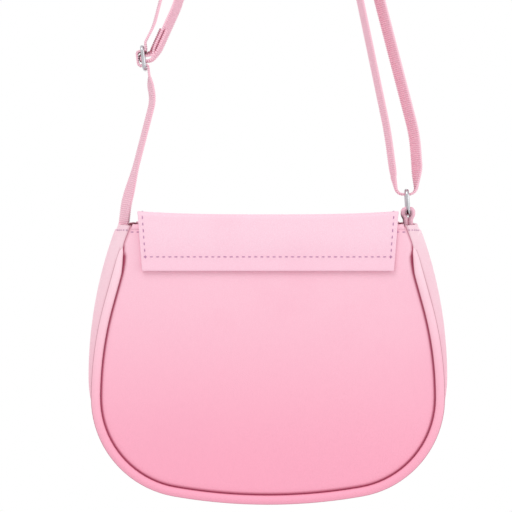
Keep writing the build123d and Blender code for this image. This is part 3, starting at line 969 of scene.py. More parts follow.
# The painted shade beside a seam: its width, what it loses at the tip, and the share of it that is
# darkest.
PANEL_SEAM_SHADE, GUSSET_SEAM_SHADE = (3.0 * MM, 1.9 * MM, 0.45), (4.4 * MM, 3.0 * MM, 0.4)
GUSSET_STEPS = 24
GUSSET_TUCK = 0.3 * MM  # the gusset's top edge under the rims
FULLNESS = 0.09  # share by which the gusset bulges past its waist line
# The gusset's unevenness: a share of x, in waves given in radians for each metre.
PUCKER, PUCKER_X, PUCKER_UP = 0.00025, 900, 700
HEM_ROLL = 1.15 * MM  # radius of the leather rolled over a rim
HEM_INSIDE = 2.15 * MM  # the turned leather behind the panel's face
LINING_BACK, LINING_FRONT = 2.9 * MM, 3.2 * MM  # the lining behind the panels' faces
LINING_DROP, LINING_RISE = 2.6 * MM, 1.3 * MM  # its top under the back rim, over the front one
LINING_FLARE = 1.6 * MM
LINING_STEPS = 10


def past_tip(shell, height):
    """0 beside the piping, 1 above its tip, where the panel meets the gusset directly."""
    tip = BACK_RIM - shell.piping_drop
    return smooth(tip - TIP_BELOW, tip + TIP_ABOVE, height)


def tip_spread(shell, height):
    """How far the seam stands out round the piping's tip."""
    tip = BACK_RIM - shell.piping_drop
    return TIP_SPREAD * (1 - smooth(0, TIP_REACH, abs(height - tip)))


def panel_inset(shell, height):
    """Panel's edge inside the seam: it goes under the piping, and meets the seam above it."""
    covered = 1 - past_tip(shell, height)
    return EDGE_COVERED * covered + EDGE_BARE - tip_spread(shell, height)


def seam_shade_depth(deepest, crease, high, inside):
    """How much painted shade a place beside a seam takes, from its distance inside the seam."""
    width, lost, darkest = crease
    reach = width - lost * high
    return deepest * (1 - smooth(darkest * reach, reach, inside))


def panel_y(shell, seam, side, x, height):
    """Where a panel's surface lies: swelling at its middle, rolling in at its seam."""
    deep = max(0.0, seam.inside(x, height) - panel_inset(shell, height))
    roll = max(0.0, 1 - deep / shell.edge_roll) ** 2
    dip = shell.edge_dip * (1 - 0.45 * past_tip(shell, height))
    face, crown = (
        (BACK_FACE, shell.back_crown) if side > 0 else (FRONT_FACE, shell.front_crown)
    )
    swell = smooth(0, SWELL_WIDTH, deep) * (1 - smooth(*SWELL_FADES, height))
    return face + side * (crown * swell - dip * roll)


def panel(shell, colours, side, rim, name, replaced):
    """A flat panel. side is 1 at the back and -1 at the front."""
    seam = seam_outline(shell)
    boundary = []
    for place, out in seam.whole(rim - PANEL_TOP):
        edge = place - out * panel_inset(shell, place.y)
        boundary.append((edge.x, edge.y))
    boundary = top_closed(boundary, rim - PANEL_TOP)

    def y_at(x, height):
        return panel_y(shell, seam, side, x, height)

    def seam_shade_at(x, height):
        deep = seam.inside(x, height) - panel_inset(shell, height)
        return seam_shade_depth(0.95, PANEL_SEAM_SHADE, past_tip(shell, height), deep)

    surface = Surface()
    patch(surface, boundary, PANEL_CENTRE, y_at, seam_shade_at)
    leather = leather_material(colours)
    piece = surface.piece(name, leather, MIDDLE, wall=shell.leather, bevel=0.3 * MM)
    put_on(piece, "bag", "leather", replaced)


def hem(shell, colours, side, rim, name, replaced):
    """The leather rolled over a panel's rim and turned down inside."""
    seam = seam_outline(shell)
    face = BACK_FACE if side > 0 else FRONT_FACE
    profile = [(-0.6 * MM, -2.6 * MM), (0.1 * MM, -1.9 * MM)]
    for k in range(9):
        way = pi * k / 8
        out = 0.16 * MM - HEM_ROLL + HEM_ROLL * cos(way)
        profile.append((out, HEM_ROLL * sin(way) - 1.1 * MM))
    profile += [(-HEM_INSIDE, -3 * MM), (-HEM_INSIDE, -shell.hem_width)]
    surface = Surface()
    rows = []
    for out, up in profile:
        height = rim + up
        half = seam.side_at(height) - 1.2 * MM
        rows.append([
            surface.corner(half * (2 * k / TOP_STEPS - 1), face + side * out, height)
            for k in range(TOP_STEPS + 1)
        ])
    surface.strip(rows)
    piece = surface.piece(name, leather_material(colours), wall=0.5 * MM, bevel=0.15 * MM)
    put_on(piece, "bag", "leather", replaced)


def gusset_swell(y, edge):
    """0 at the gusset's edges and 1 half way between the panels."""
    return cos(pi / 2 * min(1.0, abs(y / edge))) ** 0.75


def gusset_column(surface, shell, y, edge, top):
    """Corners round the gusset at one depth, from its top left to its top right."""
    swell = gusset_swell(y, edge)
    column = []
    for (one, _), (two, _) in zip(seam_outline(shell).whole(top), waist_outline(shell).whole(top)):
        place = one + (two - one) * swell * (1 + FULLNESS * (1 - past_tip(shell, one.y)))
        pucker = PUCKER * sin(place.x * PUCKER_X) * sin(place.y * PUCKER_UP) * swell
        high = past_tip(shell, place.y)
        crease = seam_shade_depth(0.85 - 0.35 * high, GUSSET_SEAM_SHADE, high, edge - abs(y))
        column.append(surface.corner(place.x * (1 + pucker), y, place.y, crease))
    return column


def gusset_edge(surface, shell, side, top):
    """Corners of the gusset's edge, tucked under the piping and meeting the panel above it."""
    column = []
    for place, out in seam_outline(shell).whole(top):
        high = past_tip(shell, place.y)
        spot = place - out * (1.8 * MM - 1.4 * MM * high - tip_spread(shell, place.y))
        y = side * (PIPING_Y + 0.4 * MM * high - 0.6 * MM)
        # The gusset's edge takes 0.9 down to 0.6 of the painted seam shade.
        column.append(surface.corner(spot.x, y, spot.y, 0.9 - 0.3 * high))
    return column


def gusset(shell, colours):
    """The strip between the panels, bulging past the seams."""
    edge = PIPING_Y - shell.piping_radius
    back, front = BACK_RIM - GUSSET_TUCK, FRONT_RIM - GUSSET_TUCK
    columns = []
    surface = Surface()
    for k in range(GUSSET_STEPS + 1):
        part = k / GUSSET_STEPS
        y, top = edge * (1 - 2 * part), back + (front - back) * part
        columns.append(gusset_column(surface, shell, y, edge, top))
    columns.insert(0, gusset_edge(surface, shell, 1, back))
    columns.append(gusset_edge(surface, shell, -1, front))
    surface.strip(columns)
    leather = leather_material(colours, "gusset_leather", place_on="gusset")
    piece = surface.piece("gusset_leather", leather, MIDDLE, wall=1.5 * MM, bevel=0.5 * MM)
    put_on(piece, "bag", "leather", "gusset")


def lining(shell, colours):
    """The cloth bag inside, a little higher at the front."""
    seam = seam_outline(shell)
    back, front = BACK_FACE - LINING_BACK, FRONT_FACE + LINING_FRONT
    back_top, front_top = BACK_RIM - LINING_DROP, FRONT_RIM + LINING_RISE
    surface = Surface()
    columns = []
    for k in range(LINING_STEPS + 1):
        part = k / LINING_STEPS
        inset = shell.lining_inset - LINING_FLARE * sin(pi * part)
        columns.append([])
        for place, out in seam.whole(back_top + (front_top - back_top) * part):
            spot = place - out * inset
            columns[-1].append(surface.corner(spot.x, back + (front - back) * part, spot.y))
    surface.strip(columns)
    for y, top in ((back, back_top), (front, front_top)):
        boundary = []
        for place, out in seam.whole(top):
            spot = place - out * shell.lining_inset
            boundary.append((spot.x, spot.y))
        boundary = top_closed(boundary, boundary[-1][1])
        patch(surface, boundary, PANEL_CENTRE, lambda x, height, y=y: y)
    cloth = lining_material(colours)
    piece = surface.piece("lining_cloth", cloth, MIDDLE, wall=shell.lining_thickness)
    put_on(piece, "bag", "lining", "lining")


def piping(shell, colours, side, name):
    """The covered cord, thinning to a blunt tip under each corner."""
    seam = seam_outline(shell)
    tip = BACK_RIM - shell.piping_drop
    places, radii = [], []
    for place, out in seam.whole(tip):
        left = tip - place.y
        full = sqrt(max(0.0, min(1.0, left / shell.piping_taper)))
        radii.append(shell.piping_radius * (0.12 + 0.88 * full))
        spot = place + out * (tip_spread(shell, place.y) - (1 - full) * 0.4 * MM)
        places.append(Vector((spot.x, side * PIPING_Y, GROUND + spot.y)))
    leather = leather_material(colours, "piping_leather", 1500.0, 0.06 * MM, "gusset")
    # The cord's sides take painted shade beside the seams.
    piece = tube(name + "_cord", places, radii, Vector((0, 1, 0)), leather, flank_shade=0.75)
    put_on(piece, "bag", "piping", name)


# ---------- the flap ----------

FLAP_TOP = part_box("flap_top")[1].z - GROUND
FLAP_BACK_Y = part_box("flap_top")[1].y
FLAP_FRONT_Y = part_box("flap_top")[0].y
FLAP_TOP_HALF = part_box("flap_top")[1].x
BAND_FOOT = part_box("flap_back")[0].z - GROUND
SEAM_Y = -2 * MM  # where the flap's two leathers meet on its top
BAND_TAPER = 2.8 * MM  # how much narrower each side of the band is at its lower edge
BAND_OFF = 8 * MM  # height over which the band's lower edge stands off
LIFT_FROM = BAND_FOOT + 10 * MM  # the ends' lift fades out down to here
FLAP_CENTRE = (0.0, 110 * MM)
FLAP_SWELL_WIDTH = 35 * MM
FLAP_SWELL_FADES = (125 * MM, 160 * MM)
FOLD_START, FOLD_END = 0.2 * MM, 3.4 * MM  # a fold bends between these, under the flap's top
CLOTH = 0.7 * MM  # thickness of the flap's lining
CLOTH_INSET = 2.0 * MM  # its edge inside the flap's


def flap_lift(flap, x):
    """The top's ends stand up a little."""
    return flap.top_rise + flap.corner_lift * min(1.0, abs(x) / FLAP_TOP_HALF) ** 3


def band_half(height):
    """Half width of the band at the back: it narrows towards its lower edge."""
    full = FLAP_TOP - BAND_FOOT
    return FLAP_TOP_HALF - BAND_TAPER * (1 - min(1.0, (height - BAND_FOOT) / full))


def band_y(flap, height):
    """The band's surface, standing off the back at its lower edge."""
    off = 1 - smooth(BAND_FOOT, BAND_FOOT + BAND_OFF, height)
    return FLAP_BACK_Y + flap.stand_off * off


def band_height(flap, x, height):
    """A place's height on the band once its ends are lifted."""
    return height + flap_lift(flap, x) * smooth(LIFT_FROM, FLAP_TOP, height)


def fold_rows(flap, side):
    """(y, height) from the top over a fold: side 1 at the back, -1 at the front."""
    edge = FLAP_BACK_Y if side > 0 else FLAP_FRONT_Y
    r = flap.fold_radius
    return [
        (edge - side * r * (1 - sin(pi / 2 * k / 8)), FLAP_TOP - r + r * cos(pi / 2 * k / 8))
        for k in range(9)
    ]


def flap_rear(flap, colours):
    """From the middle of the top, over the back fold, down to the band's lower edge."""
    rows = [(SEAM_Y + (FLAP_BACK_Y - 5 * MM - SEAM_Y) * k / 6, FLAP_TOP) for k in range(7)]
    rows += fold_rows(flap, 1)
    low = FLAP_TOP - flap.fold_radius
    for k in range(1, 25):
        height = low + (BAND_FOOT - low) * k / 24
        rows.append((band_y(flap, height), height))
    surface = Surface()
    columns = []
    for y, height in rows:
        column = []
        half = band_half(height)
        for k in range(TOP_STEPS + 1):
            x = half * (2 * k / TOP_STEPS - 1)
            column.append(surface.corner(x, y, band_height(flap, x, height)))
        columns.append(column)
    surface.strip(columns)
    leather = leather_material(colours, "flap_leather", place_on="flap")
    inside = Vector((0, 0, GROUND + 150 * MM))
    piece = surface.piece(
        "flap_rear_leather", leather, inside, wall=flap.band_thickness, bevel=0.5 * MM
    )
    put_between(
        piece, ("bag", "flap_top"),
        (0, FLAP_BACK_Y, FLAP_TOP - FOLD_END), (0, FLAP_BACK_Y - 3 * MM, FLAP_TOP - FOLD_START),
        "leather", "flap_back", "flap_top",
    )


def flap_front_y(flap, outline, x, height):
    """The front's surface, swelling a little at its middle."""
    deep = max(0.0, outline.inside(x, height))
    swell = smooth(0, FLAP_SWELL_WIDTH, deep) * (1 - smooth(*FLAP_SWELL_FADES, height))
    return FLAP_FRONT_Y - flap.front_crown * swell


def flap_fore(flap, colours):
    """From the middle of the top, over the front fold, down to the rounded edge."""
    outline = flap_outline(flap)
    join = FLAP_TOP - flap.fold_radius
    half = outline.side_at(join)
    boundary = top_closed([(place.x, place.y) for place, _ in outline.whole(join)], join)
    surface = Surface()
    patch(
        surface, boundary, FLAP_CENTRE,
        lambda x, height: flap_front_y(flap, outline, x, height),
    )
    rows = [(SEAM_Y + (FLAP_FRONT_Y + 5 * MM - SEAM_Y) * k / 6, FLAP_TOP) for k in range(7)]
    rows += fold_rows(flap, -1)
    columns = []
    for y, height in rows:
        column = []
        for k in range(TOP_STEPS + 1):
            x = half * (2 * k / TOP_STEPS - 1)
            lift = flap_lift(flap, x) * smooth(join, FLAP_TOP, height)
            column.append(surface.corner(x, y, height + lift))
        columns.append(column)
    surface.strip(columns)
    leather = leather_material(colours, "flap_leather", place_on="flap")
    inside = Vector((0, 0, GROUND + 120 * MM))
    piece = surface.piece(
        "flap_front_leather", leather, inside, wall=flap.thickness, bevel=0.4 * MM
    )
    put_between(
        piece, ("flap_top", "flap_front"),
        (0, FLAP_FRONT_Y + 3 * MM, FLAP_TOP - FOLD_START), (0, FLAP_FRONT_Y, FLAP_TOP - FOLD_END),
        "leather", "flap_front",
    )


def flap_top_lining(flap, colours):
    """The cloth under the flap's top."""
    low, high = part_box("flap_top_lining")
    surface = Surface()
    rows = []
    for k in range(13):
        y = high.y + (low.y - high.y) * k / 12
        row = []
        for j in range(TOP_STEPS + 1):
            x = high.x * (2 * j / TOP_STEPS - 1)
            row.append(surface.corner(x, y, high.z - GROUND + flap_lift(flap, x)))
        rows.append(row)
    surface.strip(rows)
    cloth = surface.piece("flap_top_cloth", lining_material(colours), MIDDLE, wall=CLOTH)
    put_on(cloth, "flap_top", "lining", "flap_top_lining")


def flap_front_lining(flap, colours):
    """The cloth behind the flap's front."""
    low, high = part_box("flap_front_lining")
    join = high.z - GROUND
    boundary = []
    for place, out in flap_outline(flap).whole(join):
        spot = place - out * CLOTH_INSET
        boundary.append((spot.x, min(spot.y, join)))
    surface = Surface()
    patch(surface, top_closed(boundary, join), FLAP_CENTRE, lambda x, height: low.y)
    cloth = surface.piece("flap_front_cloth", lining_material(colours), MIDDLE, wall=CLOTH)
    put_on(cloth, "flap_front", "lining", "flap_front_lining")


# ---------- the webbing ----------

SLIDER_LOW, SLIDER_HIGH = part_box("slider")
RING_LOW, RING_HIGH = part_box("ring")
PEG_RADIUS = 15 * MM
HANG = -GROUND  # height of the top of the peg
HALF_WEB = 0.75 * MM  # half the webbing's thickness
LAYERS_APART = 2.0 * MM  # from the inner run's middle to the outer one's, over the peg
SEWN_INSIDE = 3.6 * MM  # the sewn end inside the gusset's side
LOOP_DROP, LOOP_OUT = 2.2 * MM, 5.8 * MM  # the loop under the ring's upper bar, and beside it
LOOP_TOP = 11 * MM  # the loop's inner end over its lowest place
PEG_LEVEL = HANG - 36 * MM  # the runs lie flat over the peg from here up
TWIST_FADES = 330 * MM  # and start to turn flat here
RING_TURN = (186 * MM, 204 * MM)  # heights over which the runs turn above the ring
OUTER_TURN = (272 * MM, 292 * MM)  # and above the slider
INNER_TURN = (266 * MM, 276 * MM)
BAG_TURN = (156 * MM, 168 * MM)  # the lower run turns inside the bag's corner
EASE_TURN, EASED = (184 * MM, 206 * MM), 0.45  # loses this share of its twist above it
SLIDER_TURN, LEFT_OVER = (252 * MM, 260 * MM), 0.2  # and keeps this share at the slider
BOW_RISES, BOW_FADES = (188 * MM, 232 * MM), 300 * MM  # the ring's runs hang out between
OUTER_BOW, INNER_BOW = 2.6 * MM, 2.2 * MM
END_TOP = 214 * MM  # the sewn end's stretch goes up to here

# Millimetres from the slider's centre, across it or along it.
PAST_BAR, OVER_BAR, WINDOW, ROUND_BAR = -2.15, 3.65, 4.3, 2.0
BELOW_SLIDER, ABOVE_SLIDER = -12, 7.8
# Millimetres along the inner run from the slider's middle bar, and beside it.
TAIL_END, TAIL_SEAMS, TAIL_GAP, TAIL_STITCH = 20.0, (13.5, 17.0), 1.65, 0.85

SLIDER_LEAN = radians(7)
SLIDER = Vector((
    (SLIDER_LOW.x + SLIDER_HIGH.x) / 2,
    (SLIDER_LOW.z + SLIDER_HIGH.z) / 2 - GROUND,
))


def at_slider(outward, along):
    """A place given from the slider's centre in millimetres, across it and along it."""
    up = Vector((sin(SLIDER_LEAN), cos(SLIDER_LEAN)))
    out = Vector((cos(SLIDER_LEAN), -sin(SLIDER_LEAN)))
    return SLIDER + (out * outward + up * along) * MM


def rounded_route(points, radii, step=1.6 * MM):
    """Places along straight runs joined by arcs, about a step apart."""
    points = [Vector(point) for point in points]
    route = [points[0]]
    for before, corner, after, wanted in zip(points, points[1:], points[2:], radii):
        arrive, leave = (corner - before).normalized(), (after - corner).normalized()
        turn = arrive.angle(leave)
        reach = wanted * tan(turn / 2)
        reach = min(reach, 0.495 * min((corner - before).length, (after - corner).length))
        radius = reach / tan(turn / 2)
        hand = 1 if arrive.x * leave.y - arrive.y * leave.x > 0 else -1
        centre = corner - arrive * reach + Vector((-arrive.y, arrive.x)) * hand * radius
        spoke = corner - arrive * reach - centre
        count = max(3, ceil(radius * turn / step))
        for k in range(count + 1):
            way = hand * turn * k / count
            route.append(centre + Vector((
                spoke.x * cos(way) - spoke.y * sin(way),
                spoke.x * sin(way) + spoke.y * cos(way),
            )))
    route.append(points[-1])
    even = [route[0]]
    for one, two in zip(route, route[1:]):
        count = max(1, round((two - one).length / step))
        even += [one + (two - one) * k / count for k in range(1, count + 1)]
    return [
        place for k, place in enumerate(even)
        if k == 0 or (place - even[k - 1]).length > 0.02 * MM
    ]


def section(half_width, half_thickness):
    """A flat strip's cross section with rounded edges, as (across, through)."""
    found = []
    flat = half_width - half_thickness
    for side in (1, -1):
        for k in range(5):
            way = side * pi / 2 - pi / 4 * k
            found.append((side * flat + half_thickness * cos(way), half_thickness * sin(way)))
    return found


def strip_along(name, route, twist_at, width, thickness, made):
    """A flat strip along a route of (x, height), turned about it by twist_at(place)."""
    surface = Surface()
    rows, ways = [], []
    for k, place in enumerate(route):
        before, after = route[max(0, k - 1)], route[min(len(route) - 1, k + 1)]
        along = Vector((after.x - before.x, 0, after.y - before.y)).normalized()
        twist = Quaternion(along, twist_at(place))
        wide = twist @ Vector((0, 1, 0))
        through = wide.cross(along)
        ways.append(wide)
        row = []
        for a, b in section(width / 2, thickness / 2):
            spot = Vector((place.x, 0, place.y)) + wide * a + through * b
            row.append(surface.corner(spot.x, spot.y, spot.z))
        rows.append(row)
    surface.strip(rows, closed=True)
    surface.faces.append(tuple(rows[0]))
    surface.faces.append(tuple(reversed(rows[-1])))
    piece = surface.piece(name, made, sharp=50)
    middle = sum((v.co for v in piece.data.vertices), Vector()) / len(piece.data.vertices)
    volume = sum(f.area * f.normal.dot(f.center - middle) for f in piece.data.polygons)
    if volume < 0:
        piece.data.flip_normals()
    return piece, ways


def shorten(line, ways, by):
    """Takes a length off the start of a line."""
    while (line[1] - line[0]).length < by:
        by -= (line[1] - line[0]).length
        del line[0], ways[0]
    part = by / (line[1] - line[0]).length
    line[0] = line[0].lerp(line[1], part)
    ways[0] = ways[0].lerp(ways[1], part)


def webbing(name, route, twist_at, strap, colours):
    """A stretch of webbing: its core, and the ribs that cross it."""
    made = webbing_material(colours)
    core, ways = strip_along(
        name + "_core", route, twist_at, strap.width - 0.5 * MM, strap.core, made
    )
    line = [Vector((place.x, 0, GROUND + place.y)) for place in route]
    for _ in range(2):
        shorten(line, ways, strap.rib_pitch / 2)
        line.reverse()
        ways.reverse()
    ribs = grown_from(
        name + "_ribs", [line], rib_tree(), across=ways, Pitch=strap.rib_pitch,
        Width=strap.width, Length=strap.rib_length, Thickness=strap.rib_thickness,
        Material=made,
    )
    return merged(name, [core, ribs])


def beside(inward, above):
    """A place beside the bag's top corner, in millimetres inside it and above the rim."""
    shell = bpy.context.scene.bag_shell
    return Vector((
        waist_outline(shell).side_at(BACK_RIM) - inward * MM, BACK_RIM + above * MM
    ))


def over_peg(bend, start):
    """Where the lines from a start and its mirror meet over the peg, and their lean."""
    centre = HANG - PEG_RADIUS
    lean = atan(start.x / (centre - start.y)) - asin(bend / hypot(start.x, centre - start.y))
    return start.y + start.x / tan(lean), lean


def turned(amount, turn):
    """A twist that comes in over two heights and is gone again near the peg."""
    return lambda place: amount * smooth(*turn, place.y) * (
        1 - smooth(TWIST_FADES, PEG_LEVEL, place.y)
    )


def bowed(route, bow):
    """The same route, its ring side hanging out a little from the straight line."""
    places = []
    for place in route:
        out = smooth(*BOW_RISES, place.y) * (1 - smooth(BOW_FADES, PEG_LEVEL, place.y))
        places.append(Vector((place.x - bow * out if place.x < 0 else place.x, place.y)))
    return places


class StrapPlan:
    """Places and twists that several stretches of the webbing share."""

    def __init__(self, strap):
        self.outer_start, self.inner_start = beside(21.8, 121.0), beside(36.9, 135.0)
        self.inner_bend = PEG_RADIUS + HALF_WEB
        self.outer_bend = self.inner_bend + LAYERS_APART
        self.outer_apex, self.outer_lean = over_peg(self.outer_bend, self.outer_start)
        self.inner_apex, self.inner_lean = over_peg(self.inner_bend, self.inner_start)
        self.loop_height = RING_HIGH.z - GROUND - strap.wire_radius - LOOP_DROP
        self.loop_x = RING_HIGH.x - strap.wire_radius - LOOP_OUT
        self.outer_twist = turned(strap.outer_twist, RING_TURN)
        self.inner_twist = turned(strap.inner_twist, RING_TURN)
        self.left_inner_twist = turned(strap.left_inner_twist, INNER_TURN)
        self.bar_end = at_slider(-5.2, -ROUND_BAR)
        self.way = (self.inner_start - self.bar_end).normalized()

    def inner_right(self, height):
        """A place on the straight inner run at the ring's side."""
        return Vector((-(self.inner_apex - height) * tan(self.inner_lean), height))

    def beside_inner(self, along, off=0.0):
        """A place along the inner run from the middle bar, and beside it, in millimetres."""
        side = Vector((self.way.y, -self.way.x))
        return self.bar_end + (self.way * along + side * off) * MM


def lower_webbing(shell, strap, colours):
    """From inside the bag's corner up to the slider."""
    waist = waist_outline(shell)
    foot_height = BACK_RIM - 18 * MM
    foot = Vector((waist.side_at(foot_height) - SEWN_INSIDE, foot_height))
    seat = Vector((waist.side_at(BACK_RIM) - SEWN_INSIDE, BACK_RIM))
    bow = Vector((seat.x - 1.5 * MM, BACK_RIM + 13 * MM))
    run = rounded_route(
        [
            foot, seat, bow, beside(21.4, 76.0), at_slider(PAST_BAR, -15.5),
            at_slider(PAST_BAR, BELOW_SLIDER),
        ],
        [20 * MM, 40 * MM, 70 * MM, 30 * MM],
    )

    def twist(place):
        eased = 1 - EASED * smooth(*EASE_TURN, place.y)
        left = 1 - (1 - LEFT_OVER) * smooth(*SLIDER_TURN, place.y)
        return strap.lower_twist * smooth(*BAG_TURN, place.y) * eased * left

    split = next(k for k, place in enumerate(run) if place.y > END_TOP)
    end = webbing("webbing_end", run[:split + 1], twist, strap, colours)
    put_between(
        end, ("bag", "strap"), (90 * MM, 0, 172 * MM), (90 * MM, 0, 188 * MM),
        "webbing", "strap_end",
    )
    lower = webbing("webbing_lower", run[split:], twist, strap, colours)
    put_between(
        lower, ("strap", "slider"), (75 * MM, 0, 222 * MM), (75 * MM, 0, 255 * MM),
        "webbing", "strap_lower",
    )


def bend_webbing(strap, colours):
    """Through the slider's windows and round its middle bar."""
    route = rounded_route(
        [
            at_slider(PAST_BAR, BELOW_SLIDER), at_slider(PAST_BAR, -WINDOW),
            at_slider(OVER_BAR, -WINDOW), at_slider(OVER_BAR, WINDOW),
            at_slider(PAST_BAR, WINDOW), at_slider(PAST_BAR, ABOVE_SLIDER),
        ],
        [1.2 * MM, 1.6 * MM, 1.6 * MM, 1.2 * MM],
        0.5 * MM,
    )
    first = (1 - EASED) * LEFT_OVER * strap.lower_twist
    low, high = SLIDER.y - 12 * MM, SLIDER.y - 5 * MM
    bend = webbing(
        "webbing_bend", route, lambda place: first * (1 - smooth(low, high, place.y)),
        strap, colours,
    )
    put_on(bend, "slider", "webbing", "slider_bend")


def outer_webbing(plan, strap, colours):
    """From the slider over the peg and down to the ring. Returns its last place."""
    side_x = -(plan.outer_apex - BACK_RIM - 53 * MM) * tan(plan.outer_lean)
    route = rounded_route(
        [
            at_slider(PAST_BAR, ABOVE_SLIDER), at_slider(PAST_BAR, 9.6), plan.outer_start,
            (0, plan.outer_apex), (side_x, BACK_RIM + 53 * MM),
            (plan.loop_x, BACK_RIM + 35 * MM), (plan.loop_x, plan.loop_height + 12 * MM),
        ],
        [3 * MM, 35 * MM, plan.outer_bend, 120 * MM, 50 * MM],
    )
    route = bowed(route, OUTER_BOW)
    top = next(k for k, place in enumerate(route) if place.y > PEG_LEVEL)
    twist = turned(strap.left_outer_twist, OUTER_TURN)
    left = webbing("webbing_outer_left", route[:top + 1], twist, strap, colours)
    put_between(
        left, ("slider", "strap"), (60 * MM, 0, 284 * MM), (60 * MM, 0, 420 * MM),
        "webbing", "strap_outer_left",
    )
    right = webbing("webbing_outer_right", route[top:], plan.outer_twist, strap, colours)
    put_on(right, "strap", "webbing", "strap_outer_top", "strap_outer_right")
    return route[-1]


def loop_webbing(plan, start, strap, colours):
    """Down through the ring and up again."""
    route = rounded_route(
        [
            start, (plan.loop_x, plan.loop_height), plan.inner_right(plan.loop_height),
            plan.inner_right(plan.loop_height + LOOP_TOP),
        ],
        [4.4 * MM, 4.4 * MM],
        0.8 * MM,
    )

    def twist(place):
        return (plan.outer_twist if place.x < RING_HIGH.x else plan.inner_twist)(place)

    loop = webbing("webbing_ring_loop", route, twist, strap, colours)
    put_between(
        loop, ("strap", "bag"), (-84 * MM, 0, 197.5 * MM), (-84 * MM, 0, 189 * MM),
        "webbing", "ring_loop",
    )


def inner_webbing(plan, strap, colours):
    """From the ring back over the peg and down to the slider."""
    route = rounded_route(
        [
            plan.inner_right(plan.loop_height + LOOP_TOP), (0, plan.inner_apex),
            plan.inner_start, plan.beside_inner(TAIL_END),
        ],
        [plan.inner_bend, 60 * MM],
    )
    route = bowed(route, INNER_BOW)
    over = [k for k, place in enumerate(route) if place.y > PEG_LEVEL]
    first, last = over[0], over[-1]
    right = webbing("webbing_inner_right", route[:first + 1], plan.inner_twist, strap, colours)
    put_on(right, "strap", "webbing", "strap_inner_right")
    top = webbing("webbing_inner_top", route[first:last + 1], lambda place: 0.0, strap, colours)
    put_on(top, "strap", "webbing", "strap_inner_top")
    left = webbing("webbing_inner_left", route[last:], plan.left_inner_twist, strap, colours)
    put_between(
        left, ("slider", "strap"), (60 * MM, 0, 288 * MM), (60 * MM, 0, 430 * MM),
        "webbing", "strap_inner_left",
    )


def tail_webbing(plan, strap, colours):
    """Round the middle bar to the sewn end. Returns the lines of its stitches."""
    route = rounded_route(
        [
            plan.beside_inner(TAIL_END), plan.bar_end, at_slider(ROUND_BAR, -ROUND_BAR),
            at_slider(ROUND_BAR, ROUND_BAR), plan.beside_inner(3.9, TAIL_GAP),
            plan.beside_inner(TAIL_END, TAIL_GAP),
        ],
        [4 * MM, ROUND_BAR * MM, ROUND_BAR * MM, 4 * MM],
        0.5 * MM,
    )
    tail = webbing("webbing_tail", route, plan.left_inner_twist, strap, colours)
    put_on(tail, "slider", "webbing", "slider_loop", "strap_tail")
    lines = []
    for along in TAIL_SEAMS:
        place = plan.beside_inner(along, TAIL_GAP + TAIL_STITCH)
        lines.append([
            Vector((place.x, y, GROUND + place.y)) for y in (-6.3 * MM, 0.0, 6.3 * MM)
        ])
    return lines


def straps(shell, strap, colours):
    """All the webbing, from the bag's corner to its sewn end. Returns the end's stitches."""
    plan = StrapPlan(strap)
    lower_webbing(shell, strap, colours)
    bend_webbing(strap, colours)
    end = outer_webbing(plan, strap, colours)
    loop_webbing(plan, end, strap, colours)
    inner_webbing(plan, strap, colours)
    return tail_webbing(plan, strap, colours)


def tab(strap, colours):
    """The puffed leather tab, folded over the ring's lower bar."""
    x = RING_LOW.x + strap.wire_radius
    height = RING_LOW.z - GROUND + strap.wire_radius
    half = strap.wire_radius + 0.15 * MM + strap.tab_thickness / 2
    pinched = strap.tab_thickness / 2 + 0.05 * MM
    foot = BACK_RIM - 10 * MM
    neck, widest = height - 3.1 * MM, height - 0.6 * MM
    route = rounded_route(
        [
            (x - pinched, foot), (x - pinched, neck), (x - half, widest),
            (x - half, height + half), (x + half, height + half),
            (x + half, widest), (x + pinched, neck), (x + pinched, foot),
        ],
        [2 * MM, 2 * MM, half, half, 2 * MM, 2 * MM],
        0.5 * MM,
    )
    leather = leather_material(colours)
    piece, _ = strip_along(
        "tab_leather", route, lambda place: 0.0, strap.tab_width, strap.tab_thickness, leather
    )
    put_on(piece, "bag", "leather", "ring_tab")


def wire_frame(name, low, high, radius, corner, made, bar=0.0):
    """A rounded loop of wire between a low and a high bar, with a middle bar where asked."""
    half = high.y - radius
    one = Vector((low.x + radius, 0, low.z + radius))
    two = Vector((high.x - radius, 0, high.z - radius))
    middle, up = (one + two) / 2, (two - one).normalized()
    tall = (two - one).length / 2
    across = Vector((0, 1, 0))
    places = []
    ends = ((1, 1), (-1, 1), (-1, -1), (1, -1))
    for (a, b), after in zip(ends, ends[1:] + ends[:1]):
        start = atan2(b, a) - pi / 4
        for k in range(7):
            way = start + pi / 2 * k / 6
            places.append(
                middle + across * (a * (half - corner) + corner * cos(way))
                + up * (b * (tall - corner) + corner * sin(way))
            )
        end = middle + across * after[0] * (half - corner) + up * after[1] * (tall - corner)
        if a != after[0]:
            end += up * after[1] * corner
        else:
            end += across * after[0] * corner
        places += [places[-1].lerp(end, k / 5) for k in range(1, 5)]
    pieces = [
        tube(name, places, [radius] * len(places), across.cross(up), made, closed=True)
    ]
    if bar:
        line = [middle + across * half * (k / 6 - 1) for k in range(13)]
        pieces.append(tube(name + "_bar", line, [bar] * 13, up, made))
    return merged(name, pieces) if len(pieces) > 1 else pieces[0]


# ---------- operators ----------


class BAG_OT_shell(Operator):
    """Make the panels, hems, gusset, piping and lining"""

    bl_idname = "bag.shell"
    bl_label = "Shell"

    def execute(self, context):
        shell, colours = context.scene.bag_shell, context.scene.bag_colours
        panel(shell, colours, 1, BACK_RIM, "back_leather", "back_panel")
        panel(shell, colours, -1, FRONT_RIM, "front_leather", "front_panel")
        hem(shell, colours, 1, BACK_RIM, "back_hem_fold", "back_hem")
        hem(shell, colours, -1, FRONT_RIM, "front_hem_fold", "front_hem")
        gusset(shell, colours)
        lining(shell, colours)
        piping(shell, colours, 1, "back_piping")
        piping(shell, colours, -1, "front_piping")
        return {"FINISHED"}


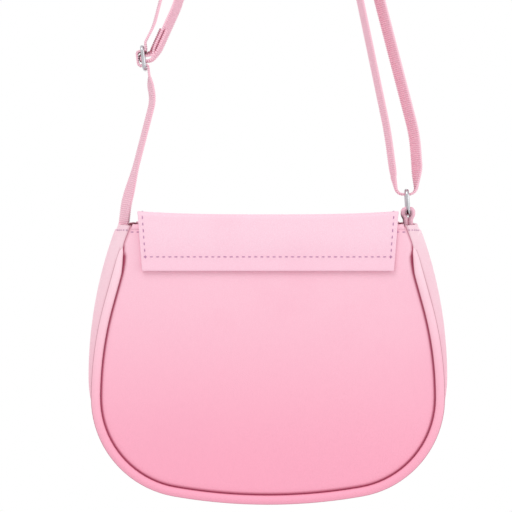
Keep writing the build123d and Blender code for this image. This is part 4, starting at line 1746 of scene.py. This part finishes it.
class BAG_OT_flap(Operator):
    """Make the flap and its lining"""

    bl_idname = "bag.flap"
    bl_label = "Flap"

    def execute(self, context):
        flap, colours = context.scene.bag_flap, context.scene.bag_colours
        flap_rear(flap, colours)
        flap_fore(flap, colours)
        flap_top_lining(flap, colours)
        flap_front_lining(flap, colours)
        return {"FINISHED"}


class BAG_OT_strap(Operator):
    """Make the webbing, from the bag's corner through the slider to the ring"""

    bl_idname = "bag.strap"
    bl_label = "Strap"

    def execute(self, context):
        scene = context.scene
        rows = straps(scene.bag_shell, scene.bag_strap, scene.bag_colours)
        sew("stitches_tail", rows, "slider", "webbing")
        return {"FINISHED"}


class BAG_OT_metal(Operator):
    """Make the slider and the ring, and finish the magnetic snap"""

    bl_idname = "bag.metal"
    bl_label = "Metal parts"

    def execute(self, context):
        strap, colours = context.scene.bag_strap, context.scene.bag_colours
        bright = metal_material("bright_plate", colours.metal, 0.16)
        slider = wire_frame(
            "slider_wire", SLIDER_LOW, SLIDER_HIGH, strap.wire_radius, 2.4 * MM, bright,
            strap.bar_radius,
        )
        put_on(slider, "slider", "metal", "slider")
        ring = wire_frame(
            "ring_wire", RING_LOW, RING_HIGH, strap.wire_radius, 3.0 * MM, bright
        )
        put_on(ring, "ring", "metal", "ring")
        dull = metal_material("snap_plate", colours.snap, 0.3)
        for name in ("snap_socket", "snap_socket_plate", "snap_stud"):
            finish_node(name, dull)
        for name in ("back_board", "front_board"):
            finish_node(name, board_material(colours))
        return {"FINISHED"}


class BAG_OT_tab(Operator):
    """Make the leather tab that holds the ring"""

    bl_idname = "bag.tab"
    bl_label = "Ring tab"

    def execute(self, context):
        tab(context.scene.bag_strap, context.scene.bag_colours)
        return {"FINISHED"}


def sew(name, lines, body, slot):
    """Stitches along some lines, riding on a body."""
    thread, colours = bpy.context.scene.bag_thread, bpy.context.scene.bag_colours
    piece = grown_from(
        name, lines, stitch_tree(), Pitch=thread.pitch, Stitch=thread.stitch,
        Radius=thread.radius, Seed=thread.seed, Material=thread_material(colours),
    )
    put_on(piece, body, slot)


def row(count, place_at):
    """count + 1 places along a row, from a function of the share along it."""
    found = []
    for k in range(count + 1):
        x, y, height = place_at(k / count)
        found.append(Vector((x, y, GROUND + height)))
    return found


class BAG_OT_stitches(Operator):
    """Sew the band, the rims and the flap's edge"""

    bl_idname = "bag.stitches"
    bl_label = "Stitches"

    def execute(self, context):
        scene = context.scene
        shell, flap, thread = scene.bag_shell, scene.bag_flap, scene.bag_thread
        seam, waist, edge = seam_outline(shell), waist_outline(shell), flap_outline(flap)
        foot = BAND_FOOT + thread.band_foot
        high = FLAP_TOP - 3.5 * MM
        proud = 0.12 * MM

        def band_side(side):
            def place_at(part):
                height = foot + (high - foot) * part
                x = side * (band_half(height) - thread.band_side)
                return x, band_y(flap, height) + proud, band_height(flap, x, height)
            return place_at

        def band_foot(part):
            x = (band_half(foot) - thread.band_side) * (2 * part - 1)
            return x, band_y(flap, foot) + proud, band_height(flap, x, foot)

        def rim_row(side, rim):
            def place_at(part):
                height = rim - thread.hem_drop
                x = (seam.side_at(height) - 2.2 * MM) * (2 * part - 1)
                return x, panel_y(shell, seam, side, x, height) + side * proud, height
            return place_at

        def gusset_row(side):
            def place_at(part):
                edge_y = PIPING_Y - shell.piping_radius
                y = (edge_y - 1.5 * MM) * (2 * part - 1)
                height = (BACK_RIM + FRONT_RIM) / 2 - thread.hem_drop
                swell = gusset_swell(y, edge_y)
                one, two = seam.side_at(height), waist.side_at(height)
                return side * (one + (two - one) * swell + 0.1 * MM), y, height
            return place_at

        lines = [row(12, band_side(1)), row(12, band_side(-1)), row(40, band_foot)]
        lines += [row(40, rim_row(1, BACK_RIM)), row(40, rim_row(-1, FRONT_RIM))]
        lines += [row(24, gusset_row(1)), row(24, gusset_row(-1))]
        sew("stitches_bag", lines, "bag", "webbing")

        def top_row(side):
            x = side * (FLAP_TOP_HALF - thread.band_side)

            def place_at(part):
                y = FLAP_BACK_Y - 4 * MM + (FLAP_FRONT_Y - FLAP_BACK_Y + 8 * MM) * part
                return x, y, FLAP_TOP + flap_lift(flap, x) + proud
            return place_at

        sew("stitches_flap_top", [row(12, top_row(1)), row(12, top_row(-1))], "flap_top", "webbing")
        front = []
        for place, out in edge.whole(FLAP_TOP - 7 * MM):
            spot = place - out * thread.flap_inset
            y = flap_front_y(flap, edge, spot.x, spot.y) - proud
            front.append(Vector((spot.x, y, GROUND + spot.y)))
        sew("stitches_flap_front", [front], "flap_front", "webbing")
        return {"FINISHED"}


class BAG_OT_stage(Operator):
    """Set the floor, the lights and the camera"""

    bl_idname = "bag.stage"
    bl_label = "Stage"

    def execute(self, context):
        stage = context.scene.bag_stage
        pale_world(context.scene, stage.fill)
        floor = bpy.data.meshes.new("floor")
        z = GROUND - stage.floor_drop
        ways = [2 * pi * k / FLOOR_SIDES for k in range(FLOOR_SIDES)]
        rim = [(cos(way), sin(way)) for way in ways]
        floor.from_pydata(
            [(stage.floor_radius * x, stage.floor_radius * y, z) for x, y in rim],
            [], [tuple(range(FLOOR_SIDES))],
        )
        floor.materials.append(floor_material())
        link("floor", floor)
        middle = Vector((0, BACK_FACE, GROUND + 120 * MM))
        soft_light("key", middle, Vector((0.55, 1.3, 1.5)), 1.3, stage.key)
        soft_light("side", middle, Vector((-1.5, 0.7, 0.2)), 1.0, stage.side)
        soft_light("front", middle, Vector((-0.6, -1.6, 0.9)), 1.2, stage.side)
        camera = bpy.data.cameras.new("camera")
        camera.sensor_width = 36.0
        camera.lens = 36.0 * stage.distance / stage.view_width
        camera.clip_start, camera.clip_end = 0.05, 50.0
        holder = link("camera", camera)
        holder.location = (
            stage.view_x, BACK_FACE + stage.distance, GROUND + stage.view_height
        )
        holder.rotation_euler = (pi / 2, 0, pi)
        context.scene.camera = holder
        context.scene.view_settings.view_transform = "Standard"
        return {"FINISHED"}


def seen_plainly(nodes):
    """1 for rays that show the background itself: camera, glossy and transmission rays."""
    path = nodes.add("ShaderNodeLightPath").outputs
    shown = nodes.math("MAXIMUM", path["Is Camera Ray"], path["Is Glossy Ray"])
    return nodes.math("MAXIMUM", shown, path["Is Transmission Ray"])


def pale_world(scene, fill):
    world = bpy.data.worlds.new("studio")
    scene.world = world
    world.use_nodes = True
    nodes = Nodes(world.node_tree)
    sky = world.node_tree.nodes["Background"]
    sky.inputs["Color"].default_value = (1.0, 1.0, 1.0, 1.0)
    plain = seen_plainly(nodes)
    strength = nodes.math("ADD", nodes.math("MULTIPLY", plain, 1.0 - fill), fill)
    nodes.join(strength, sky.inputs["Strength"])


def floor_material():
    made = bpy.data.materials.new("pale_floor")
    made.use_nodes = True
    nodes = Nodes(made.node_tree)
    made.node_tree.nodes.clear()
    matt = nodes.add("ShaderNodeBsdfDiffuse")
    matt.inputs["Color"].default_value = (0.9, 0.9, 0.9, 1.0)
    glow = nodes.add("ShaderNodeEmission")
    glow.inputs["Color"].default_value = (1.0, 1.0, 1.0, 1.0)
    both = nodes.add("ShaderNodeMixShader")
    nodes.join(nodes.math("MULTIPLY", seen_plainly(nodes), 0.85), both.inputs[0])
    nodes.join(matt.outputs[0], both.inputs[1])
    nodes.join(glow.outputs[0], both.inputs[2])
    nodes.join(both.outputs[0], nodes.add("ShaderNodeOutputMaterial").inputs[0])
    return made


def soft_light(name, target, offset, size, power):
    lamp = bpy.data.lights.new(name, "AREA")
    lamp.shape = "DISK"
    lamp.size = size
    lamp.energy = power
    holder = link(name, lamp)
    holder.location = target + offset
    holder.rotation_euler = (-offset).to_track_quat("-Z", "Y").to_euler()


class BAG_PT_sidebar(Panel):
    """Steps that make the bag, and its settings"""

    bl_label = "Crossbody bag"
    bl_idname = "BAG_PT_sidebar"
    bl_space_type = "VIEW_3D"
    bl_region_type = "UI"
    bl_category = "Bag"

    def draw(self, context):
        for step in STEPS:
            self.layout.operator(step.bl_idname)
        for name, group in SETTINGS.items():
            box = self.layout.box()
            box.label(text=group.__doc__)
            for key in group.__annotations__:
                box.prop(getattr(context.scene, name), key)


STEPS = (
    BAG_OT_stage,
    BAG_OT_shell,
    BAG_OT_flap,
    BAG_OT_tab,
    BAG_OT_metal,
    BAG_OT_strap,
    BAG_OT_stitches,
)
SETTINGS = {
    "bag_shell": BagShell,
    "bag_flap": BagFlap,
    "bag_strap": BagStrap,
    "bag_thread": BagThread,
    "bag_colours": BagColours,
    "bag_stage": BagStage,
}


def register():
    for group in SETTINGS.values():
        bpy.utils.register_class(group)
    for name, group in SETTINGS.items():
        setattr(bpy.types.Scene, name, PointerProperty(type=group))
    for step in STEPS:
        bpy.utils.register_class(step)
    bpy.utils.register_class(BAG_PT_sidebar)


def unregister():
    bpy.utils.unregister_class(BAG_PT_sidebar)
    for step in reversed(STEPS):
        bpy.utils.unregister_class(step)
    for name, group in SETTINGS.items():
        delattr(bpy.types.Scene, name)
        bpy.utils.unregister_class(group)


def main():
    register()
    bpy.ops.bag.stage()
    bpy.ops.bag.shell()
    bpy.ops.bag.flap()
    bpy.ops.bag.tab()
    bpy.ops.bag.metal()
    bpy.ops.bag.strap()
    bpy.ops.bag.stitches()


if __name__ == "__main__":
    main()
